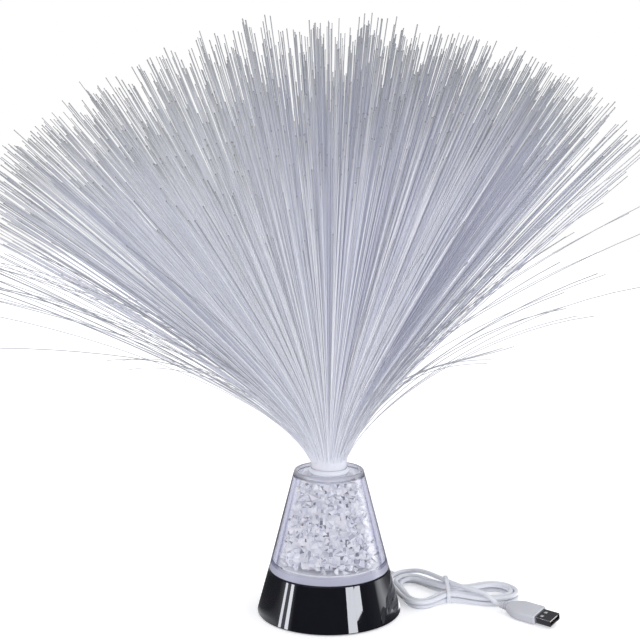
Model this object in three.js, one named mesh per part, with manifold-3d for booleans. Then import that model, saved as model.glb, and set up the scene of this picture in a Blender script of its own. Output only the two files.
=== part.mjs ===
// A fibre optic table lamp: a black conical base with its electronics, a clear cone filled with acrylic
// ice, a lift-out spray of optical fibres, and a USB lead folded into a tied hank.
// Millimetres, +Z up. The origin is the middle of the foot pad's flat underside.
import * as THREE from "three";
import { mergeVertices } from "three/addons/utils/BufferGeometryUtils.js";
import Module from "manifold-3d";

const wasm = await Module();
wasm.setup();

// Clearances
const FIT_GAP = 0.3;
const CUT_OVERRUN = 1;
const FUSE_DEPTH = 0.6;
const MERGE_DISTANCE = 0.0001;

// Base shell
const BASE_RADIUS = 49;
const SEAM_RADIUS = 40.9;
const SEAM_HEIGHT = 29.7;
const SEAM_CHAMFER = 0.4;
const BASE_WALL = 2.4;
const DECK_THICKNESS = 2.4;
const DECK_WIDTH = 9.4;
const SHELL_LIFT = 0.7;

// Foot pad and bottom plate
const PAD_INSET = 18;
const PAD_THICKNESS = 1.6;
const PLATE_THICKNESS = 2.6;
const PLATE_SCREWS = 3;
const PLATE_SCREW_AZIMUTH = 30;
const PLATE_SCREW_INSET = 2.9;
const BOSS_RADIUS = 3.1;
const PLATE_SCREW_RADIUS = 1.1;
const PLATE_SCREW_LENGTH = 8;
const PLATE_SCREW_HEAD_RADIUS = 2.4;
const PLATE_SCREW_HEAD_HEIGHT = 1.3;

// Light board
const BOARD_BOTTOM = 17.6;
const BOARD_THICKNESS = 1.6;
const BOARD_INSET = 8;
const POST_RADIUS = 2.6;
const POSTS = 3;
const POST_AZIMUTH = 90;
const POST_INSET = 5;
const BOARD_SCREW_RADIUS = 0.9;
const BOARD_SCREW_LENGTH = 5;
const BOARD_SCREW_HEAD_RADIUS = 1.9;
const BOARD_SCREW_HEAD_HEIGHT = 1.1;
const LED_RADIUS = 2.5;
const LED_RIM = 0.35;
const LED_RIM_HEIGHT = 0.8;
const LED_BODY_HEIGHT = 3;
const LED_DOME_STEPS = 4;
const RING_LEDS = 3;
const RING_LED_AZIMUTH = 30;
const RING_LED_SHARE = 0.52;
const CHIP_SIZE = [6, 5, 1.6];
const CHIP_PLACE = [-9, -6];
const CHIP_CHAMFER = 0.4;
const RESISTOR_SIZE = [3.2, 1.6, 0.6];
const RESISTOR_PLACE = [-2, -12];
const CAPACITOR_RADIUS = 2.5;
const CAPACITOR_HEIGHT = 6;
const CAPACITOR_PLACE = [-12, 5];
const CONNECTOR_SIZE = [7.6, 6, 4.6];
const CONNECTOR_PLACE = [6, 9];
const CONNECTOR_SLOT = 0.8;

// Switch and its button
const SWITCH_AZIMUTH = 118;
const SWITCH_HEIGHT = 14.2;
const SWITCH_BODY = [8, 7, 5.6];
const SWITCH_SETBACK = 9.2;
const PLUNGER_RADIUS = 1.3;
const PLUNGER_DEPTH = 3;
const BUTTON_RADIUS = 4;
const BUTTON_PROUD = 2.2;
const BUTTON_FLANGE = 1.2;
const BUTTON_FLANGE_THICKNESS = 1.2;
const BUTTON_TRAVEL = 1.5;
const BUTTON_FILLET = 0.7;

// Cord gland with its strain relief
const GLAND_AZIMUTH = 65;
const GLAND_HEIGHT = 9.2;
const GLAND_NECK_RADIUS = 3.3;
const GLAND_FLANGE_RADIUS = 4.4;
const GLAND_FLANGE_THICKNESS = 1.6;
const RELIEF_LENGTH = 14;
const RELIEF_ROOT_RADIUS = 3.5;
const RELIEF_TIP_RADIUS = 2.3;
const RELIEF_RIBS = 3;
const RELIEF_RIB_WIDTH = 1.5;
const RELIEF_RIB_GAP = 1.5;
const RELIEF_GROOVE = 0.6;

// Clear cover
const RIM_RADIUS = 23.3;
const RIM_HEIGHT = 97.6;
const RIM_WALL = 1.7;
const RIM_ROUND = 0.7;
const CHAMBER_FOOT_RADIUS = 35.5;
const CHAMBER_TOP_RADIUS = 21.3;
const COVER_FOOT_HEIGHT = 5.6;
const RECESS_DEPTH = 2.2;
const TOP_THICKNESS = 2;

// Light deck: the clear dished tray under the ice
const TRAY_THICKNESS = 1.8;
const TRAY_DISH = 3.4;

// Acrylic ice
const ICE_SIZE = 10;
const ICE_PITCH = 10;
const ICE_INSET = 4.4;
const ICE_LEAST_SHARE = 0.8;
const ICE_RANGE_SHARE = 0.4;

// Bundle holder
const COLLAR_RADIUS = 13.6;
const COLLAR_HEIGHT = 3.2;
const COLLAR_BULGE = 0.8;
const BARREL_RADIUS = 11.1;
const BARREL_LENGTH = 14;
const BORE_RADIUS = 9.9;
const BORE_MOUTH_RADIUS = 11.9;
const HOLDER_LEDGE = 1.3;
const HOLDER_LEDGE_THICKNESS = 1.4;

// Fibre bundle
const FERRULE_WALL = 0.7;
const FERRULE_LENGTH = 9.5;
const NECK_RADIUS = 11.1;
const NECK_RISE = 1.6;
const QUARTER_GAP = 0.3;
const SPRAY_LENGTH = 298.5;
const STRAND_RADIUS = 0.36;
const STRAND_SIDES = 3;
const STRAND_RINGS = 11;
const BEND_LENGTH = 34;
const STRAND_STEPS = 60;
const STRAND_STOP_SHARES = [0, 0.23, 1];
const LATE_BEND_LENGTH = 72;
const STRAY_STOP_SHARES = [0, 0.23, 0.57, 1];
const LATE_STOP_SHARES = [0, 0.13, 0.3, 0.6, 1];

// The spread of the spray, in degrees from upright
const SPREAD_LEFT = 51;
const SPREAD_RIGHT = 43;
const SPRAY_DROOP = 5;
const LEAN_AT_NECK_SHARE = 0.34;
const STRAND_LENGTH_SHARES = [1, 0.94, 0.985, 0.9, 0.97, 0.955, 0.925, 0.99, 0.91, 0.975, 0.945];

// The strays outside the spray's edge, each between two strands of the outermost ring: where round the turn,
// the lean and the droop as shares of a right angle, and the length as a share of the spray's
const STRAY_SHARES = [
  [0.0909, 0.59, 0.162, 1.02],
  [0.1364, 0.689, 0.178, 0.9],
  [0.1591, 0.6, 0.244, 0.8],
  [0.2045, 0.711, 0.156, 0.85],
  [0.2273, 0.667, 0.222, 0.96],
  [0.2955, 0.622, 0.2, 0.9],
  [0.3182, 0.733, 0.133, 0.93],
  [0.3636, 0.644, 0.267, 0.85],
  [0.3864, 0.849, 0.273, 0.81],
  [0.4091, 0.689, 0.222, 0.95],
  [0.4318, 0.588, 0.403, 0.74],
  [0.5682, 0.613, 0.26, 0.87],
  [0.5909, 0.667, 0.178, 0.97],
  [0.6136, 0.641, 0.232, 0.98],
  [0.6364, 0.611, 0.133, 0.9],
  [0.6818, 0.611, 0.111, 0.93],
  [0.7273, 0.589, 0.089, 0.88],
  [0.7727, 0.589, 0.1, 0.9],
  [0.7955, 0.578, 0.111, 0.95],
  [0.8182, 0.611, 0.078, 0.87],
  [0.8409, 0.578, 0.133, 0.9],
  [0.8636, 0.6, 0.178, 0.85],
  [0.8864, 0.557, 0.303, 0.71],
  [0.9091, 0.556, 0.26, 0.67],
  [0.9318, 0.578, 0.289, 0.8],
];

// The strays that rise with the spray and bend away later
const LATE_STRAY_SHARES = [
  [0.0227, 0.521, 0.127, 0.96],
  [0.0455, 0.678, 0.119, 1.02],
  [0.0682, 0.846, 0.219, 0.49],
  [0.1136, 1.017, -0.088, 0.68],
  [0.1818, 0.822, 0.089, 0.82],
  [0.2727, 0.889, 0.067, 0.74],
  [0.4545, 0.751, 0.137, 1.02],
  [0.4773, 0.684, 0.22, 0.96],
  [0.5227, 0.848, 0.182, 0.91],
  [0.5455, 0.778, 0.059, 1],
  [0.9545, 0.65, 0.12, 0.75],
  [0.9773, 0.569, 0.152, 0.98],
];

// Cord
const CORD_DIAMETER = 3.2;
const CORD_SIDES = 8;
const JACKET_LENGTH = 12;
const WIRE_RADIUS = 0.7;
const WIRE_SPACING = 1.1;
const HANK_SIDES = 6;
const HANK_STEPS = 24;
const GAP_STEPS = 8 * HANK_STEPS;
const HANK_TURNS = 3.9;
const HANK_START_SHARE = 0.025;
const HANK_STEP = 3.75;
const HANK_LAYER = 3.75;
const HANK_LIFT = 1.4;
const WAIST_SHARES = [0.178, 0.632];
const WAIST_WIDTH_SHARE = 0.1;
const CLIMB_SHARE = 0.5;

// Tie round the hank's waist
const TIE_PLACE = 82.5;
const TIE_WIDTH = 2.6;
const TIE_THICKNESS = 0.8;

// Plug
const PLUG_PLACE = [116.5, -4.6];
const PLUG_HEADING = -42.2;
const PLUG_ROLL = 11.6;
const PLUG_LENGTH = 24.6;
const PLUG_WIDTH = 15.6;
const PLUG_THICKNESS = 6.8;
const PLUG_SHOULDER = 10;
const PLUG_EDGE = 1.4;
const PLUG_RELIEF_LENGTH = 6.4;
const PLUG_RELIEF_RADIUS = 2.9;
const PLUG_RELIEF_TIP_RADIUS = 2.1;
const PLUG_RIB_SHARE = 0.6;
const SOCKET_SHELL_WIDTH = 12;
const SOCKET_SHELL_HEIGHT = 4.5;
const SOCKET_SHELL_LENGTH = 11.4;
const SOCKET_SHELL_WALL = 0.3;
const SOCKET_SHELL_CORNER = 0.5;
const SOCKET_DEPTH = 1;
const LATCH_HOLE = 2.4;
const LATCH_HOLE_SPACING = 5;
const LATCH_HOLE_SETBACK = 3.4;
const TONGUE_THICKNESS = 1.8;
const TONGUE_SETBACK = 1.4;
const CONTACT_WIDTH = 1;
const CONTACT_THICKNESS = 0.3;
const CONTACT_LENGTH = 7.4;
const CONTACT_PLACES = [-3.5, -1.1, 1.1, 3.5];

// The middle line of the hank's loops, clockwise from above, as control points of a closed B-spline
const HANK_GUIDE = [
  [54, 52],
  [64, 50.5],
  [71, 41],
  [77.5, 30.5],
  [86, 23.4],
  [98, 26],
  [109.5, 33.5],
  [122.5, 34],
  [131, 22.5],
  [128, 11.5],
  [116.5, 4.8],
  [102.5, 7],
  [89.5, 11.6],
  [79.5, 11.4],
  [71.5, 4],
  [64, -1.5],
  [56.5, 1.5],
  [52.5, 13.5],
  [50, 27],
  [46, 40.5],
];

// The cord from the strain relief to the hank, between its two ends
const LEAD_POINTS = [
  [32.5, 68, 5.6],
  [39.5, 70.5, 3],
  [47, 66, 1.8],
  [54, 59, 1.6],
];

// The cord from the hank over its waist to the plug, between its two ends
const TAIL_POINTS = [
  [44.9, 44.6, 5.7],
  [48.2, 52.6, 5.6],
  [53.6, 58.4, 5.5],
  [60.2, 58.8, 6.2],
  [65.6, 54.2, 7.8],
  [70, 47.4, 9],
  [74.2, 39.8, 9.9],
  [78.6, 31.8, 10.5],
  [83.4, 24.2, 10.7],
  [89, 17.4, 10.6],
  [95.4, 11.4, 10.3],
  [101.6, 6.8, 10],
  [107, 3, 9.1],
  [110.9, -0.4, 7],
];

// Colours
const BLACK = 0x17181c;
const WHITE = 0xe6e9f0;
const CORD_WHITE = 0xd6d8df;
const CLEAR = 0xdfe3ea;
const NICKEL = 0xc4c4c8;
const BOARD_GREEN = 0x1f5a3a;

const ROUND_SIDES = 48;
const INNER_SIDES = 32;
const SMALL_SIDES = 12;
const lamp = new THREE.Group();
const rad = THREE.MathUtils.degToRad;

// The cone of the base shell and, above the seam, the cone of the clear cover
function baseRadius(z) {
  return BASE_RADIUS + ((SEAM_RADIUS - BASE_RADIUS) * z) / SEAM_HEIGHT;
}

function coverRadius(z) {
  return SEAM_RADIUS + ((RIM_RADIUS - SEAM_RADIUS) * (z - SEAM_HEIGHT)) / (RIM_HEIGHT - SEAM_HEIGHT);
}

// A closed geometry as a solid that can be joined and cut
function solid(geometry) {
  const bare = geometry.index ? geometry.toNonIndexed() : geometry.clone();
  bare.deleteAttribute("normal");
  bare.deleteAttribute("uv");
  const merged = mergeVertices(bare, MERGE_DISTANCE);
  return new wasm.Manifold(
    new wasm.Mesh({
      numProp: 3,
      vertProperties: merged.attributes.position.array,
      triVerts: new Uint32Array(merged.index.array),
    }),
  );
}

function geometryOf(made) {
  const mesh = made.getMesh();
  const geometry = new THREE.BufferGeometry();
  geometry.setAttribute("position", new THREE.BufferAttribute(mesh.vertProperties, mesh.numProp));
  geometry.setIndex(new THREE.BufferAttribute(mesh.triVerts, 1));
  return geometry;
}

function join(...geometries) {
  return geometryOf(geometries.map(solid).reduce((a, b) => a.add(b)));
}

function cut(body, ...tools) {
  return geometryOf(tools.map(solid).reduce((a, b) => a.subtract(b), solid(body)));
}

// A profile of [radius, height] pairs, anticlockwise, turned about Z
function turned(profile, sides = ROUND_SIDES) {
  const points = [...profile, profile[0]].map(([r, z]) => new THREE.Vector2(r, z));
  return new THREE.LatheGeometry(points, sides).rotateX(Math.PI / 2);
}

function disc(radius, bottom, top, sides = ROUND_SIDES) {
  return turned(
    [
      [0, bottom],
      [radius, bottom],
      [radius, top],
      [0, top],
    ],
    sides,
  );
}

// The same disc, lying along X
function rod(radius, start, end, sides = SMALL_SIDES) {
  return disc(radius, start, end, sides).rotateY(Math.PI / 2);
}

function block(size, place) {
  return new THREE.BoxGeometry(...size).translate(...place);
}

// Places on a circle round Z
function onCircle(geometry, radius, azimuth, height = 0) {
  return geometry.translate(radius * Math.cos(rad(azimuth)), radius * Math.sin(rad(azimuth)), height);
}

function azimuths(count, first) {
  return Array.from({ length: count }, (_, i) => first + (360 * i) / count);
}

function add(name, geometry, colour, finish = {}) {
  const material = new THREE.MeshStandardMaterial({ color: colour, roughness: 0.4, metalness: 0, ...finish });
  const mesh = new THREE.Mesh(geometry, material);
  mesh.name = name;
  lamp.add(mesh);
  return mesh;
}

// Foot pad, bottom plate and their screws
const plateBottom = PAD_THICKNESS + FIT_GAP;
const plateTop = plateBottom + PLATE_THICKNESS;
const narrowest = Math.min(baseRadius(plateTop), SEAM_RADIUS) - BASE_WALL;
const plateScrewCircle = narrowest - PLATE_SCREW_INSET;
const boardRadius = narrowest - BOARD_INSET;
const postCircle = boardRadius - POST_INSET;
const screwAzimuths = azimuths(PLATE_SCREWS, PLATE_SCREW_AZIMUTH);
const postAzimuths = azimuths(POSTS, POST_AZIMUTH);
const postTop = BOARD_BOTTOM - FIT_GAP;
const headSink = plateBottom + PLATE_SCREW_HEAD_HEIGHT;

function footPad() {
  return disc(BASE_RADIUS - PAD_INSET, 0, PAD_THICKNESS);
}

function basePlate() {
  const radius = baseRadius(plateTop) - BASE_WALL - FIT_GAP;
  const posts = postAzimuths.map((a) =>
    onCircle(disc(POST_RADIUS, plateTop - FUSE_DEPTH, postTop, SMALL_SIDES), postCircle, a),
  );
  const plate = join(disc(radius, plateBottom, plateTop), ...posts);
  const bores = postAzimuths.map((a) =>
    onCircle(
      disc(BOARD_SCREW_RADIUS + FIT_GAP, postTop - BOARD_SCREW_LENGTH, postTop + CUT_OVERRUN, SMALL_SIDES),
      postCircle,
      a,
    ),
  );
  const holes = screwAzimuths.flatMap((a) => [
    onCircle(
      disc(PLATE_SCREW_RADIUS + FIT_GAP, plateBottom - CUT_OVERRUN, plateTop + CUT_OVERRUN, SMALL_SIDES),
      plateScrewCircle,
      a,
    ),
    onCircle(
      disc(PLATE_SCREW_HEAD_RADIUS + FIT_GAP, plateBottom - CUT_OVERRUN, headSink + FIT_GAP, SMALL_SIDES),
      plateScrewCircle,
      a,
    ),
  ]);
  return cut(plate, ...bores, ...holes);
}

// A pan head screw whose head sits under the shank
function screw(shank, length, head, headHeight) {
  return turned(
    [
      [0, 0],
      [head, 0],
      [head, headHeight],
      [shank, headHeight],
      [shank, headHeight + length],
      [0, headHeight + length],
    ],
    SMALL_SIDES,
  );
}

add("foot_pad", footPad(), 0x2a2a2c, { roughness: 0.9 });
add("base_plate", basePlate(), BLACK, { roughness: 0.6 });
screwAzimuths.forEach((a, i) => {
  const one = screw(PLATE_SCREW_RADIUS, PLATE_SCREW_LENGTH, PLATE_SCREW_HEAD_RADIUS, PLATE_SCREW_HEAD_HEIGHT);
  add(`plate_screw_${i + 1}`, onCircle(one, plateScrewCircle, a, plateBottom), NICKEL, { metalness: 1 });
});

// Base shell, with its deck, screw bosses and the holes for the gland and the button
const collarStart = baseRadius(GLAND_HEIGHT - GLAND_FLANGE_RADIUS) + FIT_GAP;

function baseShell() {
  const deckUnder = SEAM_HEIGHT - DECK_THICKNESS;
  const shell = turned([
    [baseRadius(SHELL_LIFT), SHELL_LIFT],
    [baseRadius(SEAM_HEIGHT - SEAM_CHAMFER), SEAM_HEIGHT - SEAM_CHAMFER],
    [SEAM_RADIUS - SEAM_CHAMFER, SEAM_HEIGHT],
    [SEAM_RADIUS - DECK_WIDTH, SEAM_HEIGHT],
    [SEAM_RADIUS - DECK_WIDTH, deckUnder],
    [baseRadius(deckUnder) - BASE_WALL, deckUnder],
    [baseRadius(SHELL_LIFT) - BASE_WALL, SHELL_LIFT],
  ]);
  const bossBottom = plateTop + FIT_GAP;
  const bosses = screwAzimuths.map((a) =>
    onCircle(disc(BOSS_RADIUS, bossBottom, deckUnder + FUSE_DEPTH, SMALL_SIDES), plateScrewCircle, a),
  );
  const bores = screwAzimuths.map((a) =>
    onCircle(
      disc(
        PLATE_SCREW_RADIUS + FIT_GAP,
        bossBottom - CUT_OVERRUN,
        headSink + PLATE_SCREW_LENGTH + FIT_GAP,
        SMALL_SIDES,
      ),
      plateScrewCircle,
      a,
    ),
  );
  const inside = baseRadius(SEAM_HEIGHT) - BASE_WALL - CUT_OVERRUN;
  const glandHole = rod(GLAND_NECK_RADIUS + FIT_GAP, inside, BASE_RADIUS + CUT_OVERRUN)
    .translate(0, 0, GLAND_HEIGHT)
    .rotateZ(rad(GLAND_AZIMUTH));
  const buttonHole = rod(BUTTON_RADIUS + FIT_GAP, inside, BASE_RADIUS + CUT_OVERRUN, ROUND_SIDES / 2)
    .translate(0, 0, SWITCH_HEIGHT)
    .rotateZ(rad(SWITCH_AZIMUTH));
  return cut(join(shell, ...bosses), ...bores, glandHole, buttonHole);
}

add("base_shell", baseShell(), BLACK, { roughness: 0.05 });

// Cord gland: an inner flange, a neck through the wall, an outer collar and a ribbed, tapered relief
const flangeFace = baseRadius(GLAND_HEIGHT + GLAND_FLANGE_RADIUS) - BASE_WALL - FIT_GAP;

function cordGland() {
  const collarEnd = collarStart + GLAND_FLANGE_THICKNESS;
  const profile = [
    [0, flangeFace - GLAND_FLANGE_THICKNESS],
    [GLAND_FLANGE_RADIUS, flangeFace - GLAND_FLANGE_THICKNESS],
    [GLAND_FLANGE_RADIUS, flangeFace],
    [GLAND_NECK_RADIUS, flangeFace],
    [GLAND_NECK_RADIUS, collarStart],
    [GLAND_FLANGE_RADIUS, collarStart],
    [GLAND_FLANGE_RADIUS, collarEnd],
    [RELIEF_ROOT_RADIUS, collarEnd],
  ];
  const taper = (x) =>
    RELIEF_ROOT_RADIUS + ((RELIEF_TIP_RADIUS - RELIEF_ROOT_RADIUS) * (x - collarEnd)) / RELIEF_LENGTH;
  for (let i = 0; i < RELIEF_RIBS; i++) {
    const start = collarEnd + (i + 1) * RELIEF_RIB_WIDTH + i * RELIEF_RIB_GAP;
    const end = start + RELIEF_RIB_GAP;
    profile.push([taper(start), start], [taper(start) - RELIEF_GROOVE, start]);
    profile.push([taper(end) - RELIEF_GROOVE, end], [taper(end), end]);
  }
  profile.push([RELIEF_TIP_RADIUS, collarEnd + RELIEF_LENGTH], [0, collarEnd + RELIEF_LENGTH]);
  return turned(profile, SMALL_SIDES)
    .rotateY(Math.PI / 2)
    .translate(0, 0, GLAND_HEIGHT)
    .rotateZ(rad(GLAND_AZIMUTH));
}

add("cord_gland", cordGland(), CORD_WHITE);

// Light board and what it carries
const boardTop = BOARD_BOTTOM + BOARD_THICKNESS;
const partTop = BOARD_BOTTOM - FIT_GAP;

function lightBoard() {
  const holes = postAzimuths.map((a) =>
    onCircle(
      disc(BOARD_SCREW_RADIUS + FIT_GAP, BOARD_BOTTOM - CUT_OVERRUN, boardTop + CUT_OVERRUN, SMALL_SIDES),
      postCircle,
      a,
    ),
  );
  return cut(disc(boardRadius, BOARD_BOTTOM, boardTop, INNER_SIDES), ...holes);
}

function led() {
  const dome = Array.from({ length: LED_DOME_STEPS }, (_, i) => {
    const turn = (Math.PI / 2) * (i / LED_DOME_STEPS);
    return [LED_RADIUS * Math.cos(turn), LED_BODY_HEIGHT + LED_RADIUS * Math.sin(turn)];
  });
  return turned(
    [
      [0, 0],
      [LED_RADIUS + LED_RIM, 0],
      [LED_RADIUS + LED_RIM, LED_RIM_HEIGHT],
      [LED_RADIUS, LED_RIM_HEIGHT],
      ...dome,
      [0, LED_BODY_HEIGHT + LED_RADIUS],
    ],
    SMALL_SIDES,
  );
}

// A chip with a bevelled edge along its first pin
function chip() {
  const [length, width, height] = CHIP_SIZE;
  const outline = new THREE.Shape();
  outline.moveTo(CHIP_CHAMFER - width / 2, -height);
  outline.lineTo(width / 2, -height);
  outline.lineTo(width / 2, 0);
  outline.lineTo(-width / 2, 0);
  outline.lineTo(-width / 2, CHIP_CHAMFER - height);
  return extrudedAlongX(outline, length).translate(CHIP_PLACE[0], CHIP_PLACE[1], partTop);
}

// An outline in the YZ plane, pushed out along X about its middle
function extrudedAlongX(outline, length) {
  return new THREE.ExtrudeGeometry(outline, { depth: length, bevelEnabled: false, steps: 1 })
    .translate(0, 0, -length / 2)
    .rotateX(Math.PI / 2)
    .rotateZ(Math.PI / 2);
}

function connector() {
  const [length, width, height] = CONNECTOR_SIZE;
  const body = block(CONNECTOR_SIZE, [CONNECTOR_PLACE[0], CONNECTOR_PLACE[1], partTop - height / 2]);
  const slot = block(
    [length - 4 * CONNECTOR_SLOT, CONNECTOR_SLOT, height],
    [CONNECTOR_PLACE[0], CONNECTOR_PLACE[1] - width / 4, partTop - height],
  );
  return cut(body, slot);
}

add("light_board", lightBoard(), BOARD_GREEN);
postAzimuths.forEach((a, i) => {
  const one = screw(BOARD_SCREW_RADIUS, BOARD_SCREW_LENGTH, BOARD_SCREW_HEAD_RADIUS, BOARD_SCREW_HEAD_HEIGHT);
  const top = boardTop + FIT_GAP + BOARD_SCREW_HEAD_HEIGHT;
  add(`board_screw_${i + 1}`, onCircle(one.rotateX(Math.PI), postCircle, a, top), NICKEL, { metalness: 1 });
});
add("led_centre", led().translate(0, 0, boardTop + FIT_GAP), CLEAR);
azimuths(RING_LEDS, RING_LED_AZIMUTH).forEach((a, i) => {
  add(`led_ring_${i + 1}`, onCircle(led(), RING_LED_SHARE * boardRadius, a, boardTop + FIT_GAP), CLEAR);
});
add("controller_chip", chip(), 0x202022);
add(
  "resistor",
  block(RESISTOR_SIZE, [RESISTOR_PLACE[0], RESISTOR_PLACE[1], partTop - RESISTOR_SIZE[2] / 2]),
  0x303034,
);
add(
  "capacitor",
  disc(CAPACITOR_RADIUS, partTop - CAPACITOR_HEIGHT, partTop, SMALL_SIDES).translate(
    CAPACITOR_PLACE[0],
    CAPACITOR_PLACE[1],
    0,
  ),
  0x35363a,
);
add("cable_connector", connector(), WHITE);

// Switch under the board's edge, and the button that pushes its plunger
const switchFace = baseRadius(SWITCH_HEIGHT) - BASE_WALL - SWITCH_SETBACK;
const switchTop = SWITCH_HEIGHT + SWITCH_BODY[2] / 2;
const buttonFace = baseRadius(SWITCH_HEIGHT) + BUTTON_PROUD;
const flangeEnd = baseRadius(SWITCH_HEIGHT + BUTTON_RADIUS + BUTTON_FLANGE) - BASE_WALL - FIT_GAP;
const flangeStart = flangeEnd - BUTTON_FLANGE_THICKNESS;

function placeSwitch(geometry) {
  return geometry.translate(0, 0, SWITCH_HEIGHT).rotateZ(rad(SWITCH_AZIMUTH));
}

function switchBody() {
  const [length, width, height] = SWITCH_BODY;
  const body = block(SWITCH_BODY, [switchFace - length / 2, 0, 0]);
  const bracketRise = BOARD_BOTTOM - FIT_GAP - switchTop;
  const bracket = block(
    [length / 2, width, bracketRise + FUSE_DEPTH],
    [switchFace - (3 * length) / 4, 0, height / 2 + (bracketRise - FUSE_DEPTH) / 2],
  );
  const bore = rod(
    PLUNGER_RADIUS + FIT_GAP,
    switchFace - PLUNGER_DEPTH - BUTTON_TRAVEL - FIT_GAP,
    switchFace + CUT_OVERRUN,
  );
  return placeSwitch(cut(join(body, bracket), bore));
}

function switchPlunger() {
  return placeSwitch(rod(PLUNGER_RADIUS, switchFace - PLUNGER_DEPTH, flangeStart - FIT_GAP));
}

function buttonCap() {
  const cap = turned(
    [
      [0, flangeStart],
      [BUTTON_RADIUS + BUTTON_FLANGE, flangeStart],
      [BUTTON_RADIUS + BUTTON_FLANGE, flangeEnd],
      [BUTTON_RADIUS, flangeEnd],
      [BUTTON_RADIUS, buttonFace - BUTTON_FILLET],
      [BUTTON_RADIUS - BUTTON_FILLET, buttonFace],
      [0, buttonFace],
    ],
    ROUND_SIDES / 2,
  );
  return placeSwitch(cap.rotateY(Math.PI / 2));
}

add("switch_body", switchBody(), 0x26262a);
add("switch_plunger", switchPlunger(), WHITE);
add("switch_button", buttonCap(), BLACK, { roughness: 0.3 });

// Clear cover
const seatHeight = SEAM_HEIGHT + FIT_GAP;
const chamberFoot = seatHeight + COVER_FOOT_HEIGHT;
const recessFloor = RIM_HEIGHT - RECESS_DEPTH;
const chamberTop = recessFloor - TOP_THICKNESS;

function chamberRadius(z) {
  const rise = (z - chamberFoot) / (chamberTop - chamberFoot);
  return CHAMBER_FOOT_RADIUS + (CHAMBER_TOP_RADIUS - CHAMBER_FOOT_RADIUS) * rise;
}

function clearCover() {
  const rimInside = RIM_RADIUS - RIM_WALL;
  const hole = BARREL_RADIUS + FIT_GAP;
  return turned([
    [coverRadius(seatHeight) - SEAM_CHAMFER, seatHeight],
    [coverRadius(seatHeight + SEAM_CHAMFER), seatHeight + SEAM_CHAMFER],
    [coverRadius(RIM_HEIGHT - RIM_ROUND), RIM_HEIGHT - RIM_ROUND],
    [RIM_RADIUS - RIM_ROUND / 3, RIM_HEIGHT - RIM_ROUND / 3],
    [RIM_RADIUS - RIM_ROUND, RIM_HEIGHT],
    [rimInside + RIM_ROUND / 2, RIM_HEIGHT],
    [rimInside, RIM_HEIGHT - RIM_ROUND],
    [rimInside - RIM_ROUND / 2, recessFloor],
    [hole, recessFloor],
    [hole, chamberTop],
    [CHAMBER_TOP_RADIUS, chamberTop],
    [CHAMBER_FOOT_RADIUS, chamberFoot],
    [CHAMBER_FOOT_RADIUS, seatHeight],
  ]);
}

add("clear_cover", clearCover(), CLEAR, { roughness: 0.05, transparent: true, opacity: 0.35 });

// Light tray: a clear dish inside the cover's foot
const trayRadius = CHAMBER_FOOT_RADIUS - FIT_GAP;

function trayHeight(r) {
  return seatHeight + TRAY_THICKNESS + TRAY_DISH * (r / trayRadius) ** 2;
}

function lightTray() {
  const steps = 4;
  const dish = Array.from({ length: steps }, (_, i) => {
    const r = trayRadius * (1 - i / steps);
    return [r, trayHeight(r)];
  });
  return turned([[0, seatHeight], [trayRadius, seatHeight], ...dish, [0, trayHeight(0)]], INNER_SIDES);
}

add("light_tray", lightTray(), CLEAR, { transparent: true, opacity: 0.5 });

// Acrylic ice: chips heaped round a core, as one body, clear of the holder's barrel
const barrelBottom = recessFloor + FIT_GAP - BARREL_LENGTH;
function noise(seed) {
  const wave = Math.sin(seed * 127.1 + 11.7) * 43758.5453;
  return wave - Math.floor(wave);
}

// An irregular chip: an octahedron whose corners are pulled in and out
const chipReach = (ICE_SIZE / 2) * (ICE_LEAST_SHARE + ICE_RANGE_SHARE);

function iceChip(seed) {
  const chipShape = new THREE.OctahedronGeometry(ICE_SIZE / 2, 0);
  chipShape.deleteAttribute("normal");
  chipShape.deleteAttribute("uv");
  const merged = mergeVertices(chipShape, MERGE_DISTANCE);
  const places = merged.attributes.position;
  for (let i = 0; i < places.count; i++) {
    const pull = ICE_LEAST_SHARE + ICE_RANGE_SHARE * noise(seed * 7 + i);
    places.setXYZ(i, places.getX(i) * pull, places.getY(i) * pull, places.getZ(i) * pull);
  }
  return merged
    .rotateX(Math.PI * noise(seed + 0.3))
    .rotateY(Math.PI * noise(seed + 0.6))
    .rotateZ(Math.PI * noise(seed + 0.9));
}

// The heap's core: the chamber less an inset, above the tray and below the top
function iceCore() {
  const top = chamberTop - ICE_INSET;
  const footRadius = CHAMBER_FOOT_RADIUS - ICE_INSET;
  const foot = trayHeight(footRadius) + FIT_GAP;
  return turned(
    [
      [0, trayHeight(0) + FIT_GAP],
      [footRadius / 2, trayHeight(footRadius / 2) + FIT_GAP],
      [footRadius - ICE_INSET / 2, foot],
      [chamberRadius(foot + ICE_INSET) - ICE_INSET, foot + ICE_INSET],
      [chamberRadius(top) - ICE_INSET, top],
      [0, top],
    ],
    INNER_SIDES / 2,
  );
}

function acrylicIce() {
  const chips = [];
  const lowest = trayHeight(CHAMBER_FOOT_RADIUS - chipReach) + chipReach + FIT_GAP;
  const highest = chamberTop - chipReach - FIT_GAP;
  const rows = Math.round((highest - lowest) / ICE_PITCH);
  for (let row = 0; row <= rows; row++) {
    const z = lowest + ((highest - lowest) * row) / rows;
    const radius = chamberRadius(z) - chipReach - FIT_GAP;
    const around = Math.floor((2 * Math.PI * radius) / ICE_PITCH);
    for (let i = 0; i < around; i++) {
      const turn = ((i + row / 2) / around) * 2 * Math.PI;
      const place = [radius * Math.cos(turn), radius * Math.sin(turn), z];
      chips.push(solid(iceChip(row * 53 + i).translate(...place)));
    }
  }
  const socket = disc(BARREL_RADIUS + FIT_GAP, barrelBottom - FIT_GAP, RIM_HEIGHT, INNER_SIDES);
  return geometryOf(chips.reduce((a, b) => a.add(b), solid(iceCore())).subtract(solid(socket)));
}

add("acrylic_ice", acrylicIce(), 0xd2d5e0, { roughness: 0.1 });

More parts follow.
